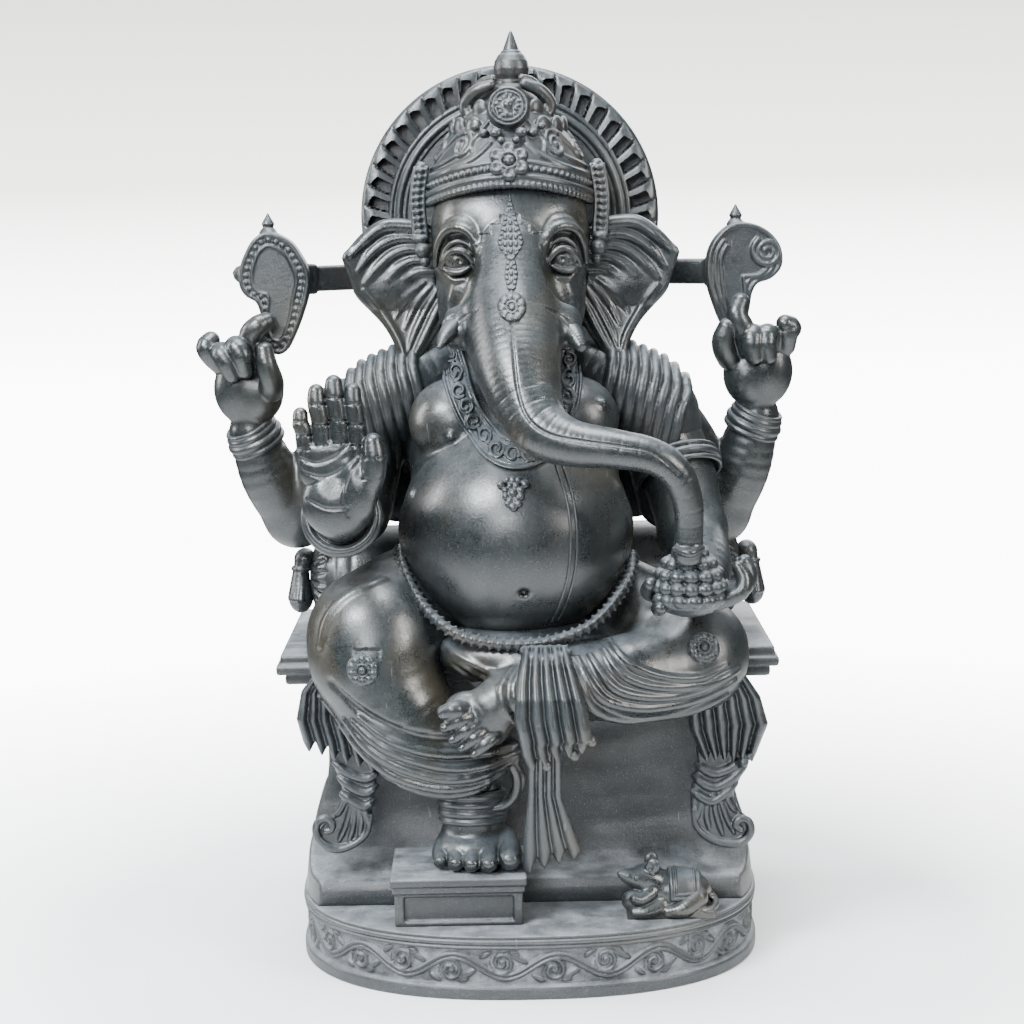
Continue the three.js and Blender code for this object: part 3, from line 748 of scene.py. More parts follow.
def trunk():
    """Trunk below the seam, with faint rings, a line along it and a lipped tip."""
    piece = face()
    core = muzzle()
    rows = spline(np.column_stack([TRUNK_LINE, TRUNK_RADII]), 240)
    for i in range(96, 232, 9):
        centre, radius = rows[i, :3], rows[i, 3]
        tangent = rows[i + 1, :3] - rows[i - 1, :3]
        tangent /= np.linalg.norm(tangent)
        down = np.cross(tangent, (0, 1, 0))
        down /= np.linalg.norm(down)
        front = np.cross(down, tangent)
        front *= np.sign(-front[1]) if abs(front[1]) > 0.05 else 1
        angles = np.radians(np.linspace(35, 145, 9))
        arc = [centre + (radius + 1.0) * (math.cos(a) * down + math.sin(a) * front) for a in angles]
        piece.cut(Tube(arc, 0.5), 1.6)
    line = [(-1, 640), (1, 606), (4, 575), (12, 552), (30, 538), (60, 532), (95, 527), (122, 521),
            (146, 500)]
    piece.cut(ridge(core, line, 1.2, step=5), 1.4)
    lip = tube([(143, -224, 430), (155, -232, 427), (167, -224, 430)], [3, 4, 3], step=3)
    piece.add(lip, 3)
    piece.cut(egg((155, -216, 414), (8, 8, 8)), 2)
    return piece.keep(Below(SEAM_POINT - 0.4 * SEAM_WAY, -SEAM_WAY))


def tusk(side):
    """Tusk in its collar; the left one is broken off short."""
    if side < 0:
        path = [(-46, -118, 634), (-55, -136, 627), (-62, -150, 620), (-67, -164, 612)]
        radii = [11, 9.5, 7.2, 2.6]
    else:
        path = [(46, -116, 632), (53, -132, 624), (59, -144, 616), (64, -154, 607)]
        radii = [11, 10, 8, 4.5]
    piece = Blend([tube(path, radii, step=3)])
    if side > 0:
        piece.keep(Below((64, -154, 607), (0.45, -0.75, -0.5)), 1.5)
    collar = np.array(path[1], float) * 0.75 + np.array(path[0], float) * 0.25
    way = np.array(path[1], float) - np.array(path[0], float)
    turn = (math.degrees(math.atan2(-way[1], way[2])),
            math.degrees(math.asin(way[0] / np.linalg.norm(way))), 0)
    return piece.add(ring(collar, 10.8, 2.2, turn), 1.5)


EAR_OUTLINE = [(48, 706), (72, 717), (96, 725), (122, 726), (143, 714), (158, 698), (163, 692), (156, 672),
               (151, 655), (138, 640), (124, 624), (114, 606), (108, 588), (101, 577), (92, 588), (78, 608),
               (64, 630), (52, 652)]


def ear_bend(x, z):
    """How far the ear stands back or forward across its width."""
    reach = np.clip((np.abs(x) - 60) / 100, 0, 1)
    low = np.clip((640 - z) / 60, 0, 1)
    return 12 * reach - 20 * reach ** 3 - 26 * low * (0.4 + 0.6 * reach)


def ear(side):
    """Thin ear with fanned folds above and long ones below."""
    outline = spline(mirror(EAR_OUTLINE, side), 70, closed=True)
    base = Blend([slab(outline, -34, 6.5, 4, ear_bend)])
    piece = base.copy()
    folds = [
        ([(62, 708), (82, 716), (104, 720), (123, 719), (140, 707), (154, 693)],
         [5, 6.5, 7.5, 7.5, 6.5, 4], 2.6),
        ([(62, 700), (82, 706), (103, 709), (120, 705), (135, 694), (148, 678)], [3, 5, 6, 6, 5, 3], 2.6),
        ([(62, 692), (80, 696), (99, 698), (114, 693), (129, 681), (142, 666)],
         [3, 4.6, 5.4, 5.4, 4.4, 3], 2.6),
        ([(62, 684), (78, 686), (94, 687), (108, 681), (120, 670)], [3, 4, 4.6, 4.6, 3], 2.6),
        ([(62, 676), (76, 677), (90, 676), (102, 670)], [3, 3.4, 3.6, 2.4], 2.6),
        ([(142, 660), (131, 645), (119, 628), (109, 610), (104, 594)], [2.5, 3.5, 3.5, 3, 2], 3),
        ([(66, 652), (76, 632), (86, 612), (96, 594)], [4, 5, 4.4, 3], 2.6),
        ([(72, 658), (84, 638), (95, 616), (101, 600)], [3, 4, 3.6, 2], 2.6),
        ([(78, 662), (93, 644), (104, 622)], [2.4, 3.2, 2.0], 2.6),
        ([(84, 666), (102, 650), (113, 632)], [2, 2.8, 1.8], 2.6),
    ]
    for path, radii, k in folds:
        piece.add(ridge(base, mirror(path, side), radii, -0.6, step=4, y=-160), k)
    for path, _, _ in folds[1:9:2]:
        back = spline([(side * x, 60, z) for x, z in path], 14)
        piece.add(Tube(landed(base, back, (0, -1, 0)), 2.4), 4)
    piece.add(egg((side * 118, -32, 662), (26, 9, 20)), 10)
    return piece.cut(egg((side * 66, -44, 668), (8, 10, 9)), 4)


# ---- crown, halo, ornaments of the head ----------------------------------------------------------
def on_crown(base, angle, z, lift=0.0):
    """Points on the crown at an angle from the front, in degrees, and a height."""
    a = np.radians(np.asarray(angle, float))
    z = np.broadcast_to(np.asarray(z, float), a.shape)
    out = np.stack([np.sin(a), -np.cos(a), 0 * a], 1)
    starts = out * 130 + np.stack([0 * a, 0 * a - 32, z], 1)
    found = land(base, starts, -out)
    return found + out * lift


def rim_height(angle):
    """The crown's rim is arched: higher over the brow than at the temples."""
    return 738 + 17 * np.cos(np.radians(angle)) ** 2 * (np.abs(np.asarray(angle, float)) < 90)


def crown_base():
    """Plain bell of the crown, cut away in an arch over the brow."""
    profile = [(0, 730), (76, 730), (80, 744), (80, 757), (77, 770), (71, 782), (61, 800), (51, 815),
               (42, 828), (30, 839), (22, 846), (17, 851), (0, 852)]
    body = Blend([turned(profile, (0, -32, 0))])

    def under_arch(p):
        angle = np.degrees(np.arctan2(p[:, 0], -(p[:, 1] + 32)))
        return (p[:, 2] - rim_height(angle)) * 0.9

    return body.cut(Shape((-120, -160, 700), (120, 100, 758), under_arch), 1.5)


def medallion(u, v):
    """Round shield with two rims, a flower and curling leaves round it."""
    r, angle = np.hypot(u, v), np.arctan2(v, u)
    rims = np.maximum(bump(r - 18.0, 1.9), 0.8 * bump(r - 14.2, 1.3))
    leaves = 0.75 * bump(r - 9.8 - 1.6 * np.sin(5 * angle), 2.2) * (0.55 + 0.45 * np.cos(15 * angle))
    flower = bump(np.hypot(u, v - 1.5), 4.4)
    return 3.0 * np.maximum(np.maximum(rims, leaves), flower)


def crown():
    """Bell-shaped crown with a rope rim, pearls, scrolls, petals and a round medallion."""
    base = crown_base()
    piece = base.copy()
    loop = np.linspace(-180, 180, 97)
    rope = np.linspace(-180, 180, 91)[:-1]
    piece.add(beads(on_crown(base, rope, rim_height(rope) + 3.0, 0.2), 3.9), 0.8)
    piece.add(Tube(on_crown(base, loop, rim_height(loop) + 10), 3.6), 1.2)
    piece.cut(Tube(on_crown(base, loop, rim_height(loop) + 14.6, 0.5), 1.5), 1.5)
    pearls = np.linspace(-180, 180, 73)[:-1]
    piece.add(beads(on_crown(base, pearls, rim_height(pearls) + 18.8), 2.7), 0.8)
    piece.add(Tube(on_crown(base, loop, rim_height(loop) + 24), 2.4), 1.2)
    for side in (-1, 1):
        for path, radii in (
                ([(84, 766), (62, 768), (42, 774), (26, 784), (16, 796)], (2.0, 3.8, 1.8)),
                ([(86, 773), (64, 777), (48, 784), (37, 794)], (1.6, 2.8, 1.6)),
                ([(19, 822), (27, 808), (33, 798), (30, 788)], (1.6, 3.0, 1.6)),
                ([(70, 786), (60, 799), (48, 809), (34, 814)], (1.6, 3.0, 1.6))):
            line = spline([(side * a, z) for a, z in path], 26)
            widths = np.interp(np.linspace(0, 1, 26), (0, 0.5, 1), radii)
            piece.add(Tube(on_crown(base, line[:, 0], line[:, 1]), widths), 1.4)
        for start, low, size in ((43, 795, 13), (76, 789, 9), (104, 796, 13), (138, 796, 13),
                                 (166, 792, 10)):
            t = np.linspace(0, 1, 34)
            curl = size * (1 - 0.88 * t)
            a = side * (start + np.degrees(curl * np.cos(3.8 * np.pi * t + 0.9) / 68))
            z = low + curl * np.sin(3.8 * np.pi * t + 0.9)
            piece.add(Tube(on_crown(base, a, z, 0.4), np.linspace(2.9, 1.8, 34)), 1.2)
            piece.add(egg(on_crown(base, [side * start], low, 0.6)[0], 2.6), 1)
        for x, y, z, size in ((12, -94, 806, 6), (23, -88, 806, 5), (31, -84, 812, 4), (7, -98, 799, 4)):
            piece.add(egg((side * x, y, z), (size, size * 0.9, size * 0.8)), 1.6)
        piece.add(tube(mirror([(16, -58, 852), (30, -54, 846), (40, -48, 834), (38, -50, 824),
                               (30, -56, 822)], side), [5, 6.5, 6.5, 5, 3], step=3), 2)
        piece.add(tube(mirror([(14, -50, 858), (24, -44, 854), (31, -40, 846)], side), [4, 5, 3],
                       step=4), 2)
    for z, radius, count, first in ((812, 9.5, 14, 38), (829, 8.5, 11, 40)):
        for angle in np.linspace(first, 360 - first, count):
            spot = on_crown(base, [angle], z)[0]
            piece.add(egg(spot, (radius, radius * 0.5, radius * 1.1), (0, 0, angle)), 1.0)
    tilt = 16
    way = np.array([0, -math.cos(math.radians(tilt)), math.sin(math.radians(tilt))])
    middle = np.array([0, -84, 829])
    piece.add(egg(middle - way * -0.5, (20, 7, 20), (-tilt, 0, 0)), 1)
    piece.add(egg((0, -66, 832), (17, 20, 17)), 4)
    piece.relief(*stamp(middle + way * 6, way, (0, 0, 1), 20, medallion))
    return piece


def crown_rosette():
    """Six-petalled flower low on the front of the crown."""
    base = crown_base()
    spot, normal, tilt, up = seat_at(base, 0, 778)
    piece = Blend([egg(spot - normal * 1, (17, 5, 17), (tilt, 0, 0))])
    for i in range(6):
        a = math.radians(60 * i + 30)
        petal = spot + np.array([math.cos(a) * 13, 0, 0]) + up * math.sin(a) * 13 + normal * 2.5
        piece.add(egg(petal, (7.2, 5.2, 7.2), (tilt, 0, 0)), 1.0)
        piece.cut(egg(petal + normal * 5.4, (4.0, 2.6, 4.0), (tilt, 0, 0)), 1.2)
    piece.add(egg(spot + normal * 5, (5.6, 4.6, 5.6), (tilt, 0, 0)), 1)
    piece.add(ring(spot + normal * 5.6, 8.0, 1.6, (90 + tilt, 0, 0)), 0.8)
    return piece


def finial():
    """Turned knob and spire on top of the crown."""
    profile = [(0, 846), (17, 846), (18, 850), (14, 854), (13, 857), (16, 862), (17.2, 868), (16, 875),
               (12.4, 881), (8, 884.5), (7.4, 887), (5.6, 892), (3.4, 898), (1.6, 902.5), (0, 904.6)]
    piece = Blend([turned(profile, (4, -28, 0))])
    for z, radius in ((855.5, 13.2), (883.5, 8.2)):
        piece.add(ring((4, -28, z), radius, 1.6), 0.8)
    return piece


def forehead_ornament():
    """Filigree down the forehead: a lozenge, a smaller one, and a rosette on the trunk's root."""
    skin = face()
    spot = on_front(skin, [(0, 648)])[0]
    marks = [(660, 0), (665, 4), (676, 6), (686, 4.5), (691, 3), (700, 10), (706, 12), (716, 9),
             (730, 5), (744, 1.5), (748, 0)]
    heights, widths = zip(*marks)

    def radius(p):
        return np.hypot(p[:, 0] - spot[0], p[:, 2] - spot[2])

    def height(p):
        x, z = p[:, 0], p[:, 2]
        outer = np.interp(z, heights, widths)
        edge = bump(np.abs(x) - outer + 1.6, 1.8) * (0.65 + 0.35 * np.cos(z * 2 * np.pi / 4.4))
        middle = 0.85 * np.abs(np.cos(x * 0.62) * np.cos((z - 704) * 0.48)) * (np.abs(x) < outer - 3)
        flower = rosette(13.5, 9, 3.2)(p[:, 0] - spot[0], p[:, 2] - spot[2])
        return 0.5 + np.maximum(2.4 * np.maximum(edge, middle), flower * (radius(p) < 13.5))

    def window(p):
        lozenge = np.abs(p[:, 0]) - np.interp(p[:, 2], heights, widths) - 0.4
        return np.maximum(np.minimum(lozenge, radius(p) - 13.5), p[:, 1] + 84)

    return Veneer(skin, (-16, -195, 632), (16, -82, 752), height, window)


def bead_string(side):
    """Ladder of bars between two cords hanging beside the face, with a knob under it."""
    line = spline([(side * 84, -50, 775), (side * 88, -52, 745), (side * 86, -54, 712)], 30)
    across = np.array([side * 5.6, 0, 0])
    piece = Blend([Tube(line + np.array([0, 5, 0]), 6.4), Tube(line + across, 2.3),
                   Tube(line - across, 2.3)])
    for p in line[1:-1:3]:
        piece.add(Tube([p - across * 0.8, p + np.array([0, -2.6, 0]), p + across * 0.8],
                       [2.1, 2.5, 2.1]), 0.4)
    piece.add(egg((side * 86, -54, 708), (8.5, 8, 5)), 1)
    piece.add(egg((side * 84, -56, 697), (8, 8, 7.5)), 1)
    return piece.add(egg((side * 82, -56, 686), (5, 5, 5)), 1)


HALO = (0, 62, 727)
HALO_RADIUS = 149


def halo():
    """Disc with a fan of stepped rays round its edge, a plain middle, and a raised rim on its back."""
    rays = 44
    body = turned([(0, -10), (HALO_RADIUS - 3, -10), (HALO_RADIUS, -7), (HALO_RADIUS, 8),
                   (HALO_RADIUS - 3, 11), (0, 11)], HALO, (90, 0, 0))
    piece = Blend([body])

    def fan(p):
        x, z = p[:, 0] - HALO[0], p[:, 2] - HALO[2]
        r, angle = np.hypot(x, z), np.arctan2(np.abs(x), z)
        phase = (angle / (2 * np.pi) * rays + 0.5 + 0.012 * (r - 130)) % 1
        step = 4.8 * (phase - np.clip(1 - phase / 0.12, 0, 1))
        band = np.clip((r - 115) / 2, 0, 1) * np.clip((HALO_RADIUS - 2 - r) / 9, 0, 1)
        front = np.clip(-(p[:, 1] - HALO[1]) / 4, 0, 1)
        return (step + 1.2) * band * front

    piece.relief(fan, (-156, 40, 571), (156, 62, 883))
    rim = turned([(112, 0), (HALO_RADIUS - 4, 0), (HALO_RADIUS - 4, 3), (112, 3)], (0, 76, 727), (90, 0, 0))
    return piece.add(rim, 2)


def halo_ring():
    """Triple moulding in front of the halo."""
    piece = Blend()
    for radius, thick in ((111, 4.2), (118.5, 3.2), (104.5, 2.2)):
        piece.add(ring((0, 51, 727), radius, thick, (90, 0, 0)), 1.2)
    return piece


def strut(side):
    """Bar that ties an emblem to the halo, behind the ear."""
    piece = Blend([block((side * 178, 38, 669), (40, 9.5, 12.5), 3, (0, 0, side * -30))])
    piece.add(block((side * 205, 22, 669), (10, 12, 15), 3, (0, 0, side * -30)), 2)
    return piece


# ---- body ----------------------------------------------------------------------------------------
def body_form():
    """Plain belly, chest, shoulders and neck."""
    form = Blend([egg((0, -80, 431), (111, 112, 107))])
    form.add(egg((0, -22, 502), (104, 84, 96)), 22)
    form.add(tube([(-114, 8, 532), (-60, 6, 572), (0, 5, 586), (60, 6, 572), (114, 8, 532)],
                  [42, 46, 50, 46, 42], step=14), 20)
    form.add(tube([(0, 24, 310), (0, 16, 420), (0, 10, 500)], [96, 94, 84], step=20, flat=0.72), 26)
    for side in (-1, 1):
        form.add(egg((side * 57, -73, 535), (44, 43, 41), (0, side * 12, 0)), 9)
    return form.add(tube([(0, -6, 560), (0, -20, 645)], [58, 50], step=12), 16)


def torso():
    """Body with nipples, navel, spine, shoulder blades and soft rolls at the sides."""
    form = body_form()
    piece = form.copy()
    for x, z in ((-59, 524), (84, 552)):
        nipple = on_front(form, [(x, z)])[0]
        normal = normals_of(form, [nipple])[0]
        piece.relief(*stamp(nipple, normal, (0, 0, 1), 9,
                            lambda u, v: 1.2 * bump(np.hypot(u, v), 7.5) + 3.0 * bump(np.hypot(u, v), 4.0)))
    navel = on_front(form, [(6, 384)])[0]
    piece.cut(egg(navel, (4.5, 7, 3.5)), 4)
    spine = [(0, 150, z) for z in (520, 480, 440, 400, 360)]
    piece.cut(Tube(land(form, spline(spine, 20), (0, -1, 0)), 3), 12)
    for side in (-1, 1):
        blade = [(side * 34, 150, 550), (side * 58, 150, 516), (side * 52, 150, 480)]
        radii = 2 + 4 * np.sin(np.linspace(0, np.pi, 14))
        piece.add(Tube(land(form, spline(blade, 14), (0, -1, 0)), radii), 12)
        roll = mirror([(96, -112, 470), (104, -96, 440), (102, -92, 400)], side)
        piece.add(tube(roll, [3, 6, 3], step=6), 10)
    return piece


def necklace():
    """Flat collar with a rim at each edge and a row of scrolls between them."""
    form = body_form()
    path = spline([(-63, 603), (-57, 585), (-49, 562), (-37, 537), (-18, 517), (3, 511), (24, 517),
                   (40, 537), (50, 558), (54, 582), (54, 603)], 40)
    half, period = 13.0, 15.5

    def height(p):
        way, side = beside(p[:, [0, 2]], path)
        rims = np.maximum(bump(np.abs(side) - half + 1.8, 1.9), 0.5 * bump(np.abs(side) - half + 5.0, 0.9))
        which = np.floor(way / period)
        u = way - (which + 0.5) * period
        v = side * np.where(which % 2 == 0, 1, -1)
        r, angle = np.hypot(u, v), np.arctan2(v, u)
        arm = r - 1.2 - 6.0 * ((angle + 1.2) % (2 * np.pi)) / (2 * np.pi)
        scroll = np.maximum(bump(arm, 1.8), bump(r - 6.3, 1.6) * (v < 3))
        return 1.4 + 2.8 * np.maximum(rims, scroll * (np.abs(side) < half - 3.2))

    def window(p):
        _, side = beside(p[:, [0, 2]], path)
        return np.maximum(np.abs(side) - half, p[:, 1] + 40)

    return Veneer(form, (-84, -190, 494), (84, -40, 616), height, window)


def pendant():
    """Small flower with three leaves above and a drop below."""
    form = body_form()
    spot, normal, tilt, up = seat_at(form, -2, 477)
    piece = Blend([egg(spot, (9, 3.5, 9), (tilt, 0, 0))])

    def at(across, rise):
        return spot + np.array([across, 0, 0]) + up * rise + normal * 1.5

    for i in range(8):
        a = math.radians(45 * i + 22)
        piece.add(egg(at(7.6 * math.cos(a), 7.6 * math.sin(a)), (3.4, 3, 3.4), (tilt, 0, 0)), 0.8)
    piece.add(egg(at(0, 0) + normal * 1.5, (3.8, 3, 3.8), (tilt, 0, 0)), 0.8)
    for across, rise, size in ((-11, 9, 4.2), (11, 9, 4.2), (0, 13, 4.4), (-5, 13, 3.4), (5, 13, 3.4),
                               (0, -13, 4.4), (-5, -10, 3.2), (5, -10, 3.2)):
        piece.add(egg(at(across, rise), (size, 3, size), (tilt, 0, 0)), 1)
    return piece


def sacred_thread():
    """Two cords running down over the belly."""
    form = body_form()
    piece = Blend()
    for shift in (0, 6):
        path = [(38 + shift, 500), (47 + shift, 470), (50 + shift, 440), (48 + shift, 405),
                (40 + shift, 372), (32 + shift, 352)]
        piece.add(ridge(form, path, 1.5, 0.2, step=5, taper=False), 1)
    return piece


def waist_belt():
    """Rope of twisted leaves lying where the belly meets the lap."""
    path = [(-112, -80, 412), (-108, -108, 398), (-94, -134, 374), (-76, -149, 355), (-56, -158, 342),
            (-28, -164, 335), (0, -166, 333), (28, -164, 335), (56, -158, 342), (76, -149, 353),
            (94, -134, 370), (108, -108, 388), (112, -80, 402)]
    line = spline(path, 44)
    piece = Blend([Tube(line, 4.8)])
    ahead = np.gradient(line, axis=0)
    ahead /= np.linalg.norm(ahead, axis=1, keepdims=True)
    across = np.cross(ahead, (0, -1, 0.35))
    across /= np.linalg.norm(across, axis=1, keepdims=True)
    front = np.cross(across, ahead)
    for p, a, c, f in zip(line, ahead, across, front):
        f = f * (1 if f[1] < 0 else -1)
        piece.add(Tube([p + c * 5.5 - a * 2.4, p + f * 3.6, p - c * 5.5 + a * 2.4], [1.7, 2.7, 1.7]), 0.8)
    return piece


# ---- arms ----------------------------------------------------------------------------------------
def raised_arm():
    """Right arm bent up, with an open palm that faces forward."""
    piece = Blend([tube([(-126, 4, 540), (-150, -10, 494), (-158, -44, 450)], [41, 39, 34], step=12)])
    piece.add(egg((-158, -48, 446), 34), 10)
    piece.add(tube([(-158, -52, 446), (-162, -118, 446), (-162, -172, 460)], [33, 31, 25], step=10), 8)
    palm = Blend([egg((-162, -186, 474), (34, 21, 34)), egg((-165, -190, 506), (33, 12, 26))])
    palm.add(egg((-143, -196, 486), (15, 13, 28), (0, -12, 0)), 6)
    palm.add(egg((-165, -192, 522), (34, 8.5, 9)), 4)
    palm.cut(egg((-168, -211, 504), (15, 9, 20)), 7)
    tips = [(-194, 562, 8.0), (-179, 583, 8.8), (-163, 591, 9.1), (-146, 583, 8.7)]
    for i, (x, top, radius) in enumerate(tips):
        root_x, root_z = -190 + 16 * i, 522 + (0, 3, 4, 2)[i]
        path = [(root_x, -190, root_z - 12), (root_x * 0.6 + x * 0.4, -191, root_z + (top - root_z) * 0.4),
                (x, -192, top - 2 * radius), (x, -191, top - radius * 0.9)]
        palm.add(tube(path, [radius, radius, radius * 0.97, radius * 0.86], step=3), 0.8)
    for i, (x, top, radius) in enumerate(tips):
        root_x, root_z = -190 + 16 * i, 522 + (0, 3, 4, 2)[i]
        for share in (0.04, 0.36, 0.68):
            z = root_z + (top - root_z) * share
            at_x = root_x + (x - root_x) * min(share * 1.3, 1)
            line = [(at_x - radius, -187.6 - radius * 0.6, z), (at_x, -192 - radius, z),
                    (at_x + radius, -187.6 - radius * 0.6, z)]
            palm.cut(tube(line, 0.8, step=2), 1.6)
    thumb = [(-138, -194, 482), (-129, -200, 500), (-127, -203, 516), (-128, -202, 529)]
    palm.add(tube(thumb, [13, 11.5, 10.8, 9], step=4), 4)
    palm.cut(tube([(-139, -206, 497), (-128, -214, 497), (-116, -204, 498)], 1.0, step=2), 1.6)
    palm.cut(tube([(-138, -206, 516), (-128, -215, 516), (-116, -204, 516)], 0.8, step=2), 1.6)
    piece.add(palm, 6)
    creases = [[(-196, 516), (-182, 511), (-166, 515), (-152, 526)],
               [(-193, 503), (-174, 498), (-156, 506), (-143, 518)],
               [(-141, 512), (-152, 498), (-156, 480), (-152, 462)],
               [(-190, 478), (-172, 470), (-152, 470)]]
    for line in creases:
        piece.cut(ridge(palm, line, 1.1, step=4, y=-260), 2.0)
    return piece


def wrist_ring():
    """Cuff round the wrist, seen under the heel of the palm."""
    piece = Blend()
    for shift, radius, thick in ((0, 33, 5.2), (8, 31.5, 3.6), (-8, 33.5, 3.6)):
        piece.add(ring((-161.5, -161 - shift, 456 + shift * 0.25), radius, thick, (76, 0, 0)), 1.5)
    return piece


def bowl_arm():
    """Left arm bent forward, with a hand cupped round the bowl."""
    piece = Blend([tube([(126, 0, 540), (156, -14, 486), (172, -50, 426)], [42, 38, 33], step=12)])
    piece.add(egg((172, -54, 420), 32), 10)
    piece.add(tube([(172, -60, 416), (178, -110, 398), (176, -148, 384)], [31, 27, 22], step=10), 8)
    hand = Blend([egg((168, -168, 374), (34, 30, 12))])
    fingers = [((182, -190, 374), (204, -196, 384), (208, -194, 396), (203, -192, 407)),
               ((186, -182, 374), (208, -186, 386), (213, -184, 398), (209, -182, 410)),
               ((186, -172, 374), (210, -174, 386), (215, -172, 398), (211, -170, 409)),
               ((182, -162, 374), (206, -162, 384), (211, -160, 395), (207, -158, 405))]
    for path in fingers:
        hand.add(tube(path, [8.5, 8, 7.4, 6], step=4), 2)
    for x in (130, 152):
        hand.add(tube([(x + 10, -160, 374), (x, -192, 370), (x, -212, 374)], [8, 7.4, 5.6], step=4), 2)
    hand.add(tube([(138, -166, 378), (122, -184, 384), (122, -200, 394)], [9, 8.4, 6.4], step=4), 3)
    return piece.add(hand, 6)


def armlet():
    """Carved band round the left upper arm, over the sleeve's edge."""
    piece = Blend()
    way = np.array([0.25, -0.5, -0.8])
    for shift, radius, thick in ((0, 41.5, 4.2), (8, 41.5, 2.4), (-8, 41.5, 2.4)):
        piece.add(ring(np.array([160, -22, 478]) + way * shift, radius, thick, (-30, -16, 0)), 1.5)
    return piece


def sweets_bowl():
    """Heap of round sweets in rows that overlap like scales, on a low bowl."""
    middle = np.array([158, -194, 0])
    piece = Blend([turned([(0, 364), (14, 364), (22, 367), (29, 373), (31, 380), (29, 384), (0, 384)],
                          tuple(middle))])
    piece.add(egg(middle + np.array([0, 0, 392]), (27, 25, 30)), 2)
    for row, (z, radius) in enumerate(((380, 27.5), (391, 28), (402, 25), (412, 19.5), (420, 11))):
        count = max(4, int(2 * math.pi * radius / 12.4))
        for i in range(count):
            a = 2 * math.pi * (i + 0.5 * (row % 2)) / count
            spot = middle + np.array([math.cos(a) * radius, math.sin(a) * radius * 0.93, z])
            piece.add(egg(spot, (7.6, 7.6, 6.6)), 0.6)
    return piece.add(egg(middle + np.array([0, 0, 424]), 7), 0.8)


REAR = {
    -1: dict(shoulder=(-130, 20, 544), mid=(-180, 36, 492), elbow=(-222, 48, 430), wrist=(-262, 16, 520),
             palm=(-262, 6, 560)),
    1: dict(shoulder=(130, 20, 542), mid=(170, 36, 490), elbow=(205, 46, 426), wrist=(243, 20, 526),
            palm=(243, 8, 568)),
}


GRIPS = {
    -1: (((-287, 2, 588), (-296, -8, 598), (-300, -12, 606), (-296, -8, 612)),
         ((-276, -6, 590), (-284, -20, 600), (-279, -26, 592), (-274, -22, 580)),
         ((-264, -8, 594), (-270, -24, 606), (-264, -30, 598), (-261, -24, 584)),
         ((-250, -4, 600), (-256, -18, 616), (-248, -22, 626), (-240, -18, 630)),
         ((-238, -8, 562), (-236, -22, 572), (-240, -28, 588), (-242, -26, 602))),
    1: (((214, 0, 584), (208, -12, 594), (206, -18, 604), (210, -20, 616)),
        ((230, -6, 596), (226, -18, 614), (220, -20, 628), (224, -16, 640)),
        ((240, -6, 598), (236, -20, 608), (234, -26, 600), (236, -24, 588)),
        ((253, -4, 598), (250, -18, 608), (248, -24, 600), (250, -22, 588)),
        ((268, 2, 596), (270, -8, 608), (274, -8, 614), (268, -12, 618))),
}


def rear_arm(side):
    """Upper arm going out and back, forearm going up, and a hand closed round the emblem."""
    j = REAR[side]
    mid_forearm = tuple((a + b) / 2 + c for a, b, c in zip(j["elbow"], j["wrist"], (side * 4, -2, -2)))
    piece = Blend([tube([j["shoulder"], j["mid"], j["elbow"]], [40, 37, 32], step=12)])
    piece.add(egg(j["elbow"], 31), 10)
    piece.add(tube([j["elbow"], mid_forearm, j["wrist"]], [32, 30, 22], step=10), 6)
    px, py, pz = j["palm"]
    palm = Blend([egg((px, py, pz), (34, 18, 35), (0, side * 8, 0))])
    palm.add(egg((px + side * 12, py - 4, pz + 8), (19, 16, 26)), 8)
    palm.add(egg((px - side * 12, py - 4, pz - 2), (18, 16, 24)), 8)
    for points in GRIPS[side]:
        palm.add(tube(points, [12, 11.4, 10.6, 9], step=3), 2.2)
    return piece.add(palm, 6)


def rear_bracelet(side):
    """Stack of four rings round a rear wrist."""
    j = REAR[side]
    way = np.array(j["wrist"], float) - np.array(j["elbow"], float)
    way /= np.linalg.norm(way)
    centre = np.array(j["wrist"]) - way * 8
    tilt_y = math.degrees(math.atan2(way[0], way[2]))
    tilt_x = -math.degrees(math.asin(way[1]))
    piece = Blend()
    for shift, thick in ((0, 4.6), (7.5, 3.4), (-7.5, 3.4), (13, 2.4)):
        piece.add(ring(centre + way * shift, 24.5 - 0.12 * shift, thick, (tilt_x, tilt_y, 0)), 1.5)
    return piece


